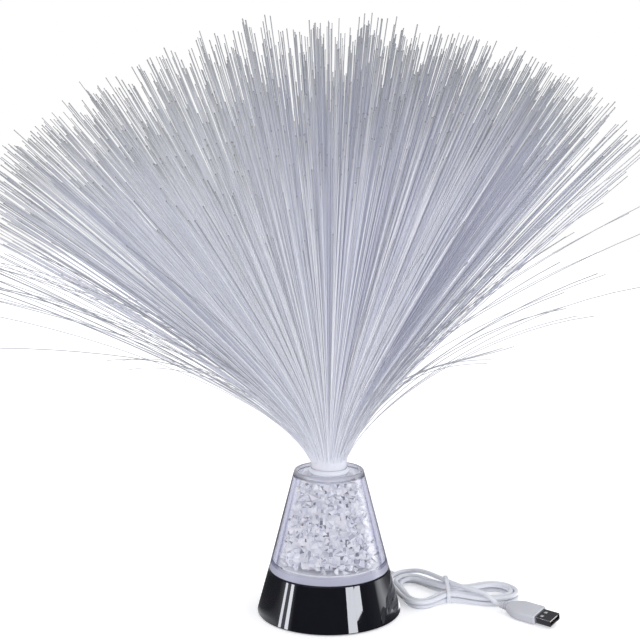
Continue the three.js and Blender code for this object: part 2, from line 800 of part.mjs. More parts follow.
// Bundle holder: a bulged collar on the cover's top and a barrel hanging in the ice
const collarBottom = recessFloor + FIT_GAP;
const collarTop = collarBottom + COLLAR_HEIGHT;

function bundleHolder() {
  const middle = (collarBottom + collarTop) / 2;
  return turned(
    [
      [BORE_RADIUS - HOLDER_LEDGE, barrelBottom],
      [BARREL_RADIUS, barrelBottom],
      [BARREL_RADIUS, collarBottom],
      [COLLAR_RADIUS - COLLAR_BULGE, collarBottom],
      [COLLAR_RADIUS, middle],
      [COLLAR_RADIUS - COLLAR_BULGE, collarTop - COLLAR_BULGE / 2],
      [COLLAR_RADIUS - 2 * COLLAR_BULGE, collarTop],
      [BORE_MOUTH_RADIUS, collarTop],
      [BORE_RADIUS, collarBottom - COLLAR_BULGE],
      [BORE_RADIUS, barrelBottom + HOLDER_LEDGE_THICKNESS],
      [BORE_RADIUS - HOLDER_LEDGE, barrelBottom + HOLDER_LEDGE_THICKNESS],
    ],
    INNER_SIDES,
  );
}

add("bundle_holder", bundleHolder(), WHITE);

// Fibre bundle: a ferrule and four quarters of potted, spreading strands
const ferruleBottom = barrelBottom + HOLDER_LEDGE_THICKNESS + FIT_GAP;
const ferruleTop = ferruleBottom + FERRULE_LENGTH;
const ferruleRadius = BORE_RADIUS - FIT_GAP;
const pottedRadius = ferruleRadius - FERRULE_WALL - FIT_GAP;
const neckHeight = collarTop;

function ferrule() {
  return turned(
    [
      [ferruleRadius - FERRULE_WALL, ferruleBottom],
      [ferruleRadius, ferruleBottom],
      [ferruleRadius, ferruleTop],
      [ferruleRadius - FERRULE_WALL, ferruleTop],
    ],
    INNER_SIDES,
  );
}

// The potted end of the bundle: straight in the ferrule, then flaring to the neck
function pottedBundle() {
  return turned(
    [
      [0, ferruleBottom],
      [pottedRadius, ferruleBottom],
      [pottedRadius, ferruleTop + FIT_GAP],
      [NECK_RADIUS, neckHeight],
      [0, neckHeight + NECK_RISE],
    ],
    INNER_SIDES / 2,
  );
}

function spread(azimuth) {
  return (SPREAD_LEFT + SPREAD_RIGHT) / 2 - ((SPREAD_LEFT - SPREAD_RIGHT) / 2) * Math.cos(azimuth);
}

// The part of its final lean that a strand has reached
function strandBend(along) {
  return 1 - (1 - LEAN_AT_NECK_SHARE) * Math.exp(-along / BEND_LENGTH);
}

function lateBend(along) {
  return 1 - (1 - LEAN_AT_NECK_SHARE) * Math.exp(-((along / LATE_BEND_LENGTH) ** 2));
}

// A strand leaves the neck leaning a share of its final lean, bends over and then droops a little
function strandPath(start, azimuth, lean, droop, length, stops, bend) {
  const root = neckHeight - FUSE_DEPTH;
  const places = [];
  const here = new THREE.Vector2(start, root);
  const step = length / STRAND_STEPS;
  const stopSteps = stops.map((share) => Math.round(share * STRAND_STEPS));
  for (let i = 0; i <= STRAND_STEPS; i++) {
    if (stopSteps.includes(i)) {
      places.push(new THREE.Vector3(here.x * Math.cos(azimuth), here.x * Math.sin(azimuth), here.y));
    }
    const along = i * step;
    const angle = rad(lean * bend(along) + droop * (i / STRAND_STEPS) ** 2);
    here.x += step * Math.sin(angle);
    here.y += step * Math.cos(angle);
  }
  return places;
}

// Rings of vertices round a path, joined into one closed skin
function strandSkin(places, radius, vertices, faces) {
  const first = vertices.length / 3;
  const tangent = new THREE.Vector3();
  const side = new THREE.Vector3();
  const up = new THREE.Vector3();
  places.forEach((place, i) => {
    tangent.subVectors(places[Math.min(i + 1, places.length - 1)], places[Math.max(i - 1, 0)]).normalize();
    side.set(-Math.sin(Math.atan2(place.y, place.x)), Math.cos(Math.atan2(place.y, place.x)), 0);
    up.crossVectors(tangent, side).normalize();
    for (let k = 0; k < STRAND_SIDES; k++) {
      const turn = (2 * Math.PI * k) / STRAND_SIDES;
      const point = place
        .clone()
        .addScaledVector(side, radius * Math.cos(turn))
        .addScaledVector(up, radius * Math.sin(turn));
      vertices.push(point.x, point.y, point.z);
    }
  });
  const corner = (ring, k) => first + ring * STRAND_SIDES + (k % STRAND_SIDES);
  for (let ring = 0; ring < places.length - 1; ring++) {
    for (let k = 0; k < STRAND_SIDES; k++) {
      faces.push(corner(ring, k), corner(ring, k + 1), corner(ring + 1, k + 1));
      faces.push(corner(ring, k), corner(ring + 1, k + 1), corner(ring + 1, k));
    }
  }
  for (let k = 1; k < STRAND_SIDES - 1; k++) {
    faces.push(corner(0, 0), corner(0, k + 1), corner(0, k));
    faces.push(corner(places.length - 1, 0), corner(places.length - 1, k), corner(places.length - 1, k + 1));
  }
}

// One quarter of the spray: rings of 1, 2, 3 ... strands, with strays outside the last ring
function quarterStrands(quarter) {
  const paths = [];
  const pitch = (NECK_RADIUS - STRAND_RADIUS) / (STRAND_RINGS + 1);
  const outermost = (STRAND_RINGS - 0.5) * pitch;
  for (let ring = 1; ring <= STRAND_RINGS; ring++) {
    const start = (ring - 0.5) * pitch;
    for (let i = 0; i < ring; i++) {
      const seed = quarter * 101 + ring * 17 + i;
      const azimuth = ((quarter + (i + 0.5) / ring) * Math.PI) / 2;
      const lean = (spread(azimuth) * start) / outermost;
      const share = STRAND_LENGTH_SHARES[seed % STRAND_LENGTH_SHARES.length];
      const droop = (SPRAY_DROOP * lean) / SPREAD_LEFT;
      const length = SPRAY_LENGTH * share;
      paths.push(strandPath(start, azimuth, lean, droop, length, STRAND_STOP_SHARES, strandBend));
    }
  }
  const strays = [
    ...STRAY_SHARES.map((row) => [...row, STRAY_STOP_SHARES, strandBend]),
    ...LATE_STRAY_SHARES.map((row) => [...row, LATE_STOP_SHARES, lateBend]),
  ];
  for (const [turn, lean, droop, length, stops, bend] of strays) {
    if (Math.floor(4 * turn) !== quarter) continue;
    const start = outermost + pitch;
    const reach = SPRAY_LENGTH * length;
    paths.push(strandPath(start, 2 * Math.PI * turn, 90 * lean, 90 * droop, reach, stops, bend));
  }
  return paths;
}

function fibreQuarter(quarter, paths) {
  const vertices = [];
  const faces = [];
  paths.forEach((path) => strandSkin(path, STRAND_RADIUS, vertices, faces));
  const strands = new THREE.BufferGeometry();
  strands.setAttribute("position", new THREE.Float32BufferAttribute(vertices, 3));
  strands.setIndex(faces);
  const reach = 2 * NECK_RADIUS;
  const height = neckHeight + NECK_RISE - ferruleBottom + 2 * CUT_OVERRUN;
  const wedge = block([reach, reach, height], [
    (reach + QUARTER_GAP) / 2,
    (reach + QUARTER_GAP) / 2,
    ferruleBottom - CUT_OVERRUN + height / 2,
  ]).rotateZ((quarter * Math.PI) / 2);
  return geometryOf(solid(pottedBundle()).intersect(solid(wedge)).add(solid(strands)));
}

add("bundle_ferrule", ferrule(), WHITE, { roughness: 0.6 });
const sprayPaths = [0, 1, 2, 3].map(quarterStrands);
sprayPaths.forEach((paths, quarter) => {
  add(`fibres_${quarter + 1}`, fibreQuarter(quarter, paths), 0xd0d3de, { roughness: 0.2 });
});

// The hank: loops that spiral in on the floor, climb a layer and spiral out again
function guidePoint(share) {
  const count = HANK_GUIDE.length;
  const along = (((share % 1) + 1) % 1) * count;
  const i = Math.floor(along);
  const t = along - i;
  const weights = [(1 - t) ** 3, 3 * t ** 3 - 6 * t * t + 4, 3 * t * t + 3 * t + 1 - 3 * t ** 3, t ** 3];
  const slopes = [-((1 - t) ** 2), 3 * t * t - 4 * t, 2 * t + 1 - 3 * t * t, t * t];
  const place = [0, 0];
  const slope = [0, 0];
  for (let k = 0; k < 4; k++) {
    const point = HANK_GUIDE[(i - 1 + k + count) % count];
    for (let axis = 0; axis < 2; axis++) {
      place[axis] += (weights[k] * point[axis]) / 6;
      slope[axis] += (slopes[k] * point[axis]) / 2;
    }
  }
  const size = Math.hypot(...slope);
  return { place, outward: [-slope[1] / size, slope[0] / size] };
}

function waistRise(share, waist) {
  const off = Math.abs(THREE.MathUtils.euclideanModulo(share - waist + 0.5, 1) - 0.5);
  return off < WAIST_WIDTH_SHARE ? (1 + Math.cos((Math.PI * off) / WAIST_WIDTH_SHARE)) / 2 : 0;
}

function hankPoint(turns) {
  const middle = HANK_TURNS / 2;
  const share = (HANK_START_SHARE + turns) % 1;
  const { place, outward } = guidePoint(share);
  const offset = (Math.abs(turns - middle) - middle / 2) * HANK_STEP;
  const climb = THREE.MathUtils.smoothstep((turns - middle) / CLIMB_SHARE + 0.5, 0, 1);
  const lift = Math.max(...WAIST_SHARES.map((waist) => waistRise(share, waist)));
  const height = CORD_DIAMETER / 2 + HANK_LAYER * climb + HANK_LIFT * lift;
  return new THREE.Vector3(place[0] + offset * outward[0], place[1] + offset * outward[1], height);
}

// The least gap of a tube to itself, measured on points further apart along it than the skip
function leastGap(points, diameter, skip) {
  let along = 0;
  const lengths = points.map((p, i) => (along += i ? p.distanceTo(points[i - 1]) : 0));
  let least = Infinity;
  for (let i = 0; i < points.length; i++) {
    for (let j = i + 1; j < points.length; j++) {
      if (lengths[j] - lengths[i] > skip) least = Math.min(least, points[i].distanceTo(points[j]));
    }
  }
  return least - diameter;
}

function hankLoops(stepsEachTurn) {
  const steps = Math.round(stepsEachTurn * HANK_TURNS);
  return Array.from({ length: steps + 1 }, (_, i) => hankPoint((HANK_TURNS * i) / steps));
}

const hankPath = hankLoops(HANK_STEPS);
const hankGap = leastGap(hankLoops(GAP_STEPS), CORD_DIAMETER, 6 * CORD_DIAMETER);
console.log(`hank: least gap of the cord to itself ${hankGap.toFixed(2)} mm`);

// A tube through every point, with its first and last runs straight and square to its ends
function cordSkin(path, sides, radius = CORD_DIAMETER / 2) {
  const last = path.length - 1;
  const vertices = [];
  const faces = [];
  const tangents = path.map((p, i) =>
    new THREE.Vector3().subVectors(path[Math.min(i + 1, last)], path[Math.max(i - 1, 0)]).normalize(),
  );
  path.forEach((place, i) => {
    const side = new THREE.Vector3(-tangents[i].y, tangents[i].x, 0).normalize();
    const up = new THREE.Vector3().crossVectors(side, tangents[i]).negate();
    const before = new THREE.Vector3().subVectors(place, path[Math.max(i - 1, 0)]);
    const stretch = i > 0 && i < last ? 1 / tangents[i].dot(before.normalize()) : 1;
    for (let k = 0; k < sides; k++) {
      const turn = (2 * Math.PI * (k + 0.5)) / sides;
      const point = place
        .clone()
        .addScaledVector(side, radius * stretch * Math.cos(turn))
        .addScaledVector(up, radius * Math.sin(turn));
      vertices.push(point.x, point.y, point.z);
    }
  });
  const corner = (ring, k) => ring * sides + (k % sides);
  for (let ring = 0; ring < last; ring++) {
    for (let k = 0; k < sides; k++) {
      faces.push(corner(ring, k), corner(ring, k + 1), corner(ring + 1, k + 1));
      faces.push(corner(ring, k), corner(ring + 1, k + 1), corner(ring + 1, k));
    }
  }
  for (let k = 1; k < sides - 1; k++) {
    faces.push(corner(0, 0), corner(0, k + 1), corner(0, k));
    faces.push(corner(last, 0), corner(last, k), corner(last, k + 1));
  }
  const skin = new THREE.BufferGeometry();
  skin.setAttribute("position", new THREE.Float32BufferAttribute(vertices, 3));
  skin.setIndex(faces);
  return skin;
}

function withStraightEnds(path) {
  const start = new THREE.Vector3().subVectors(path[0], path[1]).setLength(CORD_DIAMETER);
  const [before, last] = path.slice(-2);
  const end = new THREE.Vector3().subVectors(last, before).setLength(CORD_DIAMETER);
  return [path[0].clone().add(start), ...path, last.clone().add(end)];
}

const hankLine = withStraightEnds(hankPath);
add("cord_hank", cordSkin(hankLine, HANK_SIDES), CORD_WHITE);

// The free stretches of the cord
const reliefEnd = collarStart + GLAND_FLANGE_THICKNESS + RELIEF_LENGTH;
const glandDirection = new THREE.Vector3(Math.cos(rad(GLAND_AZIMUTH)), Math.sin(rad(GLAND_AZIMUTH)), 0);
const plugDirection = new THREE.Vector3(Math.cos(rad(PLUG_HEADING)), Math.sin(rad(PLUG_HEADING)), 0);
const rollReach = (PLUG_WIDTH - PLUG_EDGE) / 2;
const plugHeight = (PLUG_THICKNESS / 2) * Math.cos(rad(PLUG_ROLL)) + rollReach * Math.sin(rad(PLUG_ROLL));
const plugStart = new THREE.Vector3(PLUG_PLACE[0], PLUG_PLACE[1], plugHeight);

// Both ends of a stretch run straight for a diameter, a gap away from what they meet
function freeCord(from, fromDirection, points, to, toDirection) {
  const start = from.clone().addScaledVector(fromDirection, FIT_GAP);
  const end = to.clone().addScaledVector(toDirection, -FIT_GAP);
  const path = [
    start,
    start.clone().addScaledVector(fromDirection, CORD_DIAMETER),
    ...points.map((p) => new THREE.Vector3(...p)),
    end.clone().addScaledVector(toDirection, -CORD_DIAMETER),
    end,
  ];
  const curve = new THREE.CatmullRomCurve3(path, false, "centripetal");
  const run = CORD_DIAMETER / curve.getLength();
  const steps = Math.round((1 - 2 * run) / (2 * run));
  const between = Array.from({ length: steps - 1 }, (_, i) =>
    curve.getPointAt(run + ((1 - 2 * run) * (i + 1)) / steps),
  );
  return [start, path[1], ...between, path[path.length - 2], end];
}

function endDirection(path, end) {
  const [a, b] = end ? [path[path.length - 2], path[path.length - 1]] : [path[0], path[1]];
  return new THREE.Vector3().subVectors(b, a).normalize();
}

const glandEnd = glandDirection.clone().multiplyScalar(reliefEnd).setZ(GLAND_HEIGHT);
const hankStart = hankLine[0];
const hankEnd = hankLine[hankLine.length - 1];
const leadLine = freeCord(glandEnd, glandDirection, LEAD_POINTS, hankStart, endDirection(hankLine, false));
const tailLine = freeCord(hankEnd, endDirection(hankLine, true), TAIL_POINTS, plugStart, plugDirection);
add("cord_lead", cordSkin(leadLine, CORD_SIDES), CORD_WHITE);
add("cord_tail", cordSkin(tailLine, CORD_SIDES), CORD_WHITE);

// Inside the base the jacketed lead ends short of the connector, and its two wires go on
const jacketStart = glandDirection
  .clone()
  .multiplyScalar(flangeFace - GLAND_FLANGE_THICKNESS - FIT_GAP)
  .setZ(GLAND_HEIGHT);
const jacketEnd = jacketStart.clone().addScaledVector(glandDirection, -JACKET_LENGTH);
add("inner_lead", cordSkin([jacketStart, jacketEnd], CORD_SIDES, CORD_DIAMETER / 2), CORD_WHITE);

function wire(side) {
  const aside = new THREE.Vector3(glandDirection.y, -glandDirection.x, 0);
  const across = aside.multiplyScalar(side * WIRE_SPACING);
  const start = jacketEnd.clone().addScaledVector(glandDirection, -FIT_GAP).add(across);
  const run = start.clone().addScaledVector(glandDirection, -2 * CORD_DIAMETER).addScaledVector(across, 0.5);
  const end = new THREE.Vector3(
    CONNECTOR_PLACE[0] + (side * CONNECTOR_SIZE[0]) / 4,
    CONNECTOR_PLACE[1] + CONNECTOR_SIZE[1] / 2 + FIT_GAP,
    partTop - CONNECTOR_SIZE[2] / 2,
  );
  const before = end.clone().add(new THREE.Vector3(0, CORD_DIAMETER, 0));
  const curve = new THREE.CatmullRomCurve3([start, run, before, end], false, "centripetal");
  return cordSkin(curve.getPoints(SMALL_SIDES), HANK_SIDES, WIRE_RADIUS);
}

add("wire_red", wire(1), 0xa02020);
add("wire_black", wire(-1), 0x1c1c1e);

// The tie: a band pulled round everything that crosses the waist
function outlineRound(circles) {
  const points = circles.flatMap(([y, z, radius]) =>
    Array.from({ length: SMALL_SIDES }, (_, k) => {
      const turn = (2 * Math.PI * k) / SMALL_SIDES;
      return [y + radius * Math.cos(turn), z + radius * Math.sin(turn)];
    }),
  );
  points.sort((a, b) => a[0] - b[0] || a[1] - b[1]);
  const bend = (o, a, b) => (a[0] - o[0]) * (b[1] - o[1]) - (a[1] - o[1]) * (b[0] - o[0]);
  const half = (list) => {
    const chain = [];
    for (const point of list) {
      while (chain.length > 1 && bend(...chain.slice(-2), point) <= 0) chain.pop();
      chain.push(point);
    }
    return chain.slice(0, -1);
  };
  return [...half(points), ...half([...points].reverse())];
}

// Points every part of a millimetre or so along the straight runs of a line
function finely(path) {
  const count = 8;
  return path
    .slice(1)
    .flatMap((p, i) => Array.from({ length: count }, (_, k) => path[i].clone().lerp(p, (k + 0.5) / count)));
}

function cordTie() {
  const nearby = [...finely(hankLine), ...finely(tailLine)].filter(
    (p) => Math.abs(p.x - TIE_PLACE) < TIE_WIDTH / 2 + TIE_THICKNESS,
  );
  const slack = CORD_DIAMETER / 2 + FIT_GAP;
  const inner = outlineRound(nearby.map((p) => [p.y, p.z, slack]));
  const outer = outlineRound(nearby.map((p) => [p.y, p.z, slack + TIE_THICKNESS]));
  const band = new THREE.Shape(outer.map(([y, z]) => new THREE.Vector2(y, z)));
  band.holes.push(new THREE.Path(inner.map(([y, z]) => new THREE.Vector2(y, z))));
  return new THREE.ExtrudeGeometry(band, { depth: TIE_WIDTH, bevelEnabled: false, steps: 1 })
    .rotateX(Math.PI / 2)
    .rotateZ(Math.PI / 2)
    .translate(TIE_PLACE - TIE_WIDTH / 2, 0, 0);
}

add("cord_tie", cordTie(), WHITE);

// Plug, built along +X from the relief's tip and then turned into place
const plug = new THREE.Group();
plug.position.copy(plugStart);
plug.rotation.set(rad(PLUG_ROLL), 0, rad(PLUG_HEADING), "ZYX");
lamp.add(plug);

function addToPlug(name, geometry, colour, finish) {
  plug.add(add(name, geometry, colour, finish));
}

function roundedBar(width, height, corner) {
  const shape = new THREE.Shape();
  const w = width / 2;
  const h = height / 2;
  shape.moveTo(corner - w, -h);
  shape.lineTo(w - corner, -h);
  shape.lineTo(w, corner - h);
  shape.lineTo(w, h - corner);
  shape.lineTo(w - corner, h);
  shape.lineTo(corner - w, h);
  shape.lineTo(-w, h - corner);
  shape.lineTo(-w, corner - h);
  return shape;
}

const bodyStart = PLUG_RELIEF_LENGTH;
const bodyEnd = bodyStart + PLUG_LENGTH;
const shellStart = bodyEnd - SOCKET_DEPTH;
const shellEnd = bodyEnd + SOCKET_SHELL_LENGTH;

// The overmould: a bar narrowed to its shoulders, with a ribbed relief at its back
function plugOvermould() {
  const outline = new THREE.Shape();
  const half = PLUG_WIDTH / 2;
  const back = half - PLUG_EDGE - PLUG_SHOULDER / 3;
  outline.moveTo(bodyStart, -back);
  outline.quadraticCurveTo(bodyStart + PLUG_SHOULDER / 2, -half, bodyStart + PLUG_SHOULDER, -half);
  outline.lineTo(bodyEnd - PLUG_EDGE, -half);
  outline.lineTo(bodyEnd, PLUG_EDGE - half);
  outline.lineTo(bodyEnd, half - PLUG_EDGE);
  outline.lineTo(bodyEnd - PLUG_EDGE, half);
  outline.lineTo(bodyStart + PLUG_SHOULDER, half);
  outline.quadraticCurveTo(bodyStart + PLUG_SHOULDER / 2, half, bodyStart, back);
  const plan = new THREE.ExtrudeGeometry(outline, {
    depth: PLUG_THICKNESS,
    bevelEnabled: false,
    steps: 1,
    curveSegments: 4,
  }).translate(0, 0, -PLUG_THICKNESS / 2);
  const front = extrudedAlongX(roundedBar(PLUG_WIDTH, PLUG_THICKNESS, PLUG_EDGE), 2 * PLUG_LENGTH).translate(
    bodyStart + PLUG_LENGTH / 2,
    0,
    0,
  );
  const ribs = [];
  const pitch = PLUG_RELIEF_LENGTH / RELIEF_RIBS;
  for (let i = 0; i < RELIEF_RIBS; i++) {
    const share = (i + 1) / RELIEF_RIBS;
    const radius = PLUG_RELIEF_TIP_RADIUS + (PLUG_RELIEF_RADIUS - PLUG_RELIEF_TIP_RADIUS) * share;
    ribs.push(rod(radius, i * pitch, (i + PLUG_RIB_SHARE) * pitch, SMALL_SIDES));
  }
  ribs.push(rod(PLUG_RELIEF_TIP_RADIUS - RELIEF_GROOVE / 2, pitch / 2, bodyStart + PLUG_EDGE, SMALL_SIDES));
  const socket = extrudedAlongX(
    roundedBar(SOCKET_SHELL_WIDTH + 2 * FIT_GAP, SOCKET_SHELL_HEIGHT + 2 * FIT_GAP, SOCKET_SHELL_CORNER),
    2 * (SOCKET_DEPTH + FIT_GAP),
  ).translate(bodyEnd, 0, 0);
  const body = geometryOf(solid(plan).intersect(solid(front)));
  return cut(join(body, ...ribs), socket);
}

// The metal shell: folded sheet, open in front, with two latch holes on each broad face
function plugShell() {
  const length = shellEnd - shellStart;
  const middle = (shellStart + shellEnd) / 2;
  const outside = extrudedAlongX(
    roundedBar(SOCKET_SHELL_WIDTH, SOCKET_SHELL_HEIGHT, SOCKET_SHELL_CORNER),
    length,
  ).translate(middle, 0, 0);
  const inside = extrudedAlongX(
    roundedBar(
      SOCKET_SHELL_WIDTH - 2 * SOCKET_SHELL_WALL,
      SOCKET_SHELL_HEIGHT - 2 * SOCKET_SHELL_WALL,
      SOCKET_SHELL_CORNER,
    ),
    length,
  ).translate(middle + SOCKET_SHELL_WALL, 0, 0);
  const holes = [-1, 1].map((side) =>
    block(
      [LATCH_HOLE, LATCH_HOLE, 2 * SOCKET_SHELL_HEIGHT],
      [bodyEnd + LATCH_HOLE_SETBACK, (side * LATCH_HOLE_SPACING) / 2, 0],
    ),
  );
  return cut(outside, inside, ...holes);
}

const tongueWidth = SOCKET_SHELL_WIDTH - 2 * (SOCKET_SHELL_WALL + FIT_GAP);
const tongueTop = SOCKET_SHELL_HEIGHT / 2 - SOCKET_SHELL_WALL - FIT_GAP;
const tongueStart = shellStart + SOCKET_SHELL_WALL + FIT_GAP;
const tongueEnd = shellEnd - TONGUE_SETBACK;

function plugTongue() {
  return block(
    [tongueEnd - tongueStart, tongueWidth, TONGUE_THICKNESS],
    [(tongueStart + tongueEnd) / 2, 0, tongueTop - TONGUE_THICKNESS / 2],
  );
}

addToPlug("plug_overmould", plugOvermould(), CORD_WHITE);
addToPlug("plug_shell", plugShell(), NICKEL, { metalness: 1, roughness: 0.25 });
addToPlug("plug_tongue", plugTongue(), WHITE);
CONTACT_PLACES.forEach((y, i) => {
  const z = tongueTop - TONGUE_THICKNESS - FIT_GAP - CONTACT_THICKNESS / 2;
  addToPlug(
    `plug_contact_${i + 1}`,
    block([CONTACT_LENGTH, CONTACT_WIDTH, CONTACT_THICKNESS], [tongueEnd - CONTACT_LENGTH / 2, y, z]),
    0xc8a24a,
    { metalness: 1 },
  );
});

export default lamp;
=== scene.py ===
"""A fibre optic table lamp: a gloss black cone, a clear cone of acrylic ice, a spray of fibres and a USB lead."""
import math
import random

import bmesh
import bpy
from mathutils import Matrix, Vector, noise


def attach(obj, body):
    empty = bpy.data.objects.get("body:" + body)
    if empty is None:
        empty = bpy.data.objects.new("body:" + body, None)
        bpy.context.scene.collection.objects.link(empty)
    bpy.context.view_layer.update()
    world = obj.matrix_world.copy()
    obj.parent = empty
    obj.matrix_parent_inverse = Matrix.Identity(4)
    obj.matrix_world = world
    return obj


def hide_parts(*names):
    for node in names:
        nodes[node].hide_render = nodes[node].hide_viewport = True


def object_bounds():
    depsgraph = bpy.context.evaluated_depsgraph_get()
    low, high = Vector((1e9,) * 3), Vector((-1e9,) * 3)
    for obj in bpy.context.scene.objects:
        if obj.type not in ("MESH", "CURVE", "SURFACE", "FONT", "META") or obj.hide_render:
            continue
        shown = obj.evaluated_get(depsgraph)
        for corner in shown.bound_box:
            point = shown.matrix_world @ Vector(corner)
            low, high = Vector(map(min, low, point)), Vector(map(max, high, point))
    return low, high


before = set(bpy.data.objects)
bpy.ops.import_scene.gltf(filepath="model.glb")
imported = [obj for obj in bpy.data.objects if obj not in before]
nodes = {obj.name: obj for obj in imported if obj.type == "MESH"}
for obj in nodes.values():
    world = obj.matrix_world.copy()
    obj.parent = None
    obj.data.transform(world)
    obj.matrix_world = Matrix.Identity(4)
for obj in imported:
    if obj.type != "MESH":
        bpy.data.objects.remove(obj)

cad_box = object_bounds()
MM = 0.001
TAU = 2 * math.pi


def srgb(colour):
    """An sRGB hex colour as the linear one that a shader takes."""
    parts = [int(colour[i : i + 2], 16) / 255 for i in (1, 3, 5)]
    return (*[p / 12.92 if p <= 0.04045 else ((p + 0.055) / 1.055) ** 2.4 for p in parts], 1)


# Camera: set back 750 mm at the height of the spray, tipped down to the base
CAMERA_PLACE = (0, -0.75, 0.288404)
CAMERA_DIP = 0.119
LENS = 64.05
FILM_WIDTH = 36
FILM_SHIFT = -0.014

camera = bpy.data.objects.new("camera", bpy.data.cameras.new("camera"))
bpy.context.scene.collection.objects.link(camera)
camera.location = CAMERA_PLACE
camera.rotation_euler = (math.pi / 2 - CAMERA_DIP, 0, 0)
camera.data.lens = LENS
camera.data.sensor_width = FILM_WIDTH
camera.data.shift_x = FILM_SHIFT
bpy.context.scene.camera = camera
bpy.context.scene.view_settings.view_transform = "Standard"


# Shapes, in millimetres and degrees

WELD = 1e-7
SHARP = 35
ROUND_STEPS = 6
ROUND_SHARE = 0.36
ROUND_HOLD = 0.12


def linked(name, mesh):
    """Puts a mesh or a curve in the scene."""
    made = bpy.data.objects.new(name, mesh)
    bpy.context.scene.collection.objects.link(made)
    return made


def meshed(name, vertices, faces, sharp=SHARP):
    """A smooth shaded mesh with its edges kept sharp above an angle."""
    mesh = bpy.data.meshes.new(name)
    mesh.from_pydata([Vector(v) * MM for v in vertices], [], faces)
    tidy = bmesh.new()
    tidy.from_mesh(mesh)
    bmesh.ops.remove_doubles(tidy, verts=tidy.verts, dist=WELD)
    bmesh.ops.recalc_face_normals(tidy, faces=tidy.faces)
    tidy.to_mesh(mesh)
    tidy.free()
    mesh.shade_smooth()
    mesh.set_sharp_from_angle(angle=math.radians(sharp))
    return linked(name, mesh)


def rounded(corners, steps=ROUND_STEPS):
    """A closed outline; a corner given as (x, y, radius) is rounded off, and held so that its walls shade flat."""
    outline = []
    for before, corner, after in zip(corners[-1:] + corners[:-1], corners, corners[1:] + corners[:1]):
        here, back, on = (Vector(c[:2]) for c in (corner, before, after))
        if len(corner) < 3:
            outline.append(here)
            continue
        half = (back - here).angle(on - here) / 2
        room = ROUND_SHARE * min((back - here).length, (on - here).length)
        reach = min(corner[2] / math.tan(half), room)
        a = here + (back - here).normalized() * reach
        b = here + (on - here).normalized() * reach
        hold = min(ROUND_HOLD, reach / 3)
        outline.append(a + (back - here).normalized() * hold)
        outline += [a.lerp(here, t).lerp(here.lerp(b, t), t) for t in (i / steps for i in range(steps + 1))]
        outline.append(b + (on - here).normalized() * hold)
    return outline


def turned(outline, sides):
    """A closed outline of (radius, height) turned about Z."""
    count = len(outline)
    vertices = [
        (r * math.cos(TAU * k / sides), r * math.sin(TAU * k / sides), z)
        for k in range(sides)
        for r, z in outline
    ]
    faces = [
        (k * count + i, ((k + 1) % sides) * count + i, ((k + 1) % sides) * count + j, k * count + j)
        for k in range(sides)
        for i, j in ((i, (i + 1) % count) for i in range(count))
        if outline[i][0] > 0 or outline[j][0] > 0
    ]
    return vertices, faces


def lofted(rings, closed=False):
    """A skin over rings of equal length, with both ends capped unless it closes on itself."""
    count = len(rings[0])
    vertices = [v for ring in rings for v in ring]
    last = len(rings) if closed else len(rings) - 1
    faces = [
        (
            i * count + k,
            i * count + (k + 1) % count,
            (i + 1) % len(rings) * count + (k + 1) % count,
            (i + 1) % len(rings) * count + k,
        )
        for i in range(last)
        for k in range(count)
    ]
    if not closed:
        faces += [tuple(range(count))[::-1], tuple((len(rings) - 1) * count + k for k in range(count))]
    return vertices, faces


def cut(body, tool):
    """Takes a tool's shape out of a body, and the tool out of the scene."""
    modifier = body.modifiers.new("cut", "BOOLEAN")
    modifier.object = tool
    modifier.solver = "EXACT"
    graph = bpy.context.evaluated_depsgraph_get()
    mesh = bpy.data.meshes.new_from_object(body.evaluated_get(graph))
    body.modifiers.clear()
    body.data = mesh
    bpy.data.objects.remove(tool)
    mesh.shade_smooth()
    mesh.set_sharp_from_angle(angle=math.radians(SHARP))


def through(points):
    """A centripetal Catmull-Rom line through the points, in steps of about 1 mm."""
    ends = [2 * points[0] - points[1], *points, 2 * points[-1] - points[-2]]
    line = []
    for a, b, c, d in zip(ends, ends[1:], ends[2:], ends[3:]):
        ab, bc, cd = (math.sqrt((q - p).length) for p, q in ((a, b), (b, c), (c, d)))
        out = ((b - a) / ab - (c - a) / (ab + bc) + (c - b) / bc) * bc
        into = ((c - b) / bc - (d - b) / (bc + cd) + (d - c) / cd) * bc
        count = max(1, round((c - b).length))
        for t in (i / count for i in range(count)):
            line.append(
                b * (2 * t**3 - 3 * t**2 + 1)
                + out * (t**3 - 2 * t**2 + t)
                + c * (3 * t**2 - 2 * t**3)
                + into * (t**3 - t**2)
            )
    return line + [points[-1]]


# Materials. Grain sizes and depths are in millimetres; a grain that is really finer than 0.3 mm is drawn at 0.3 to
# 0.8 mm, so that it shows

NOISE_RANGE = (0.3, 0.7)


def shade(tree, kind, inputs=None, **settings):
    """Adds one shader node, sets its properties and sets or links its inputs."""
    made = tree.nodes.new("ShaderNode" + kind)
    for name, value in settings.items():
        setattr(made, name, value)
    for name, value in (inputs or {}).items():
        if isinstance(value, bpy.types.NodeSocket):
            tree.links.new(value, made.inputs[name])
        else:
            made.inputs[name].default_value = value
    return made


def finish(name, colour, **inputs):
    """A material with one principled shader; a double underscore in an input's name stands for a space."""
    made = bpy.data.materials.new(name)
    made.use_nodes = True
    shader = made.node_tree.nodes["Principled BSDF"]
    shader.inputs["Base Color"].default_value = srgb(colour)
    for key, value in inputs.items():
        shader.inputs[key.replace("__", " ")].default_value = value
    made.diffuse_color = srgb(colour)
    return made, made.node_tree, shader


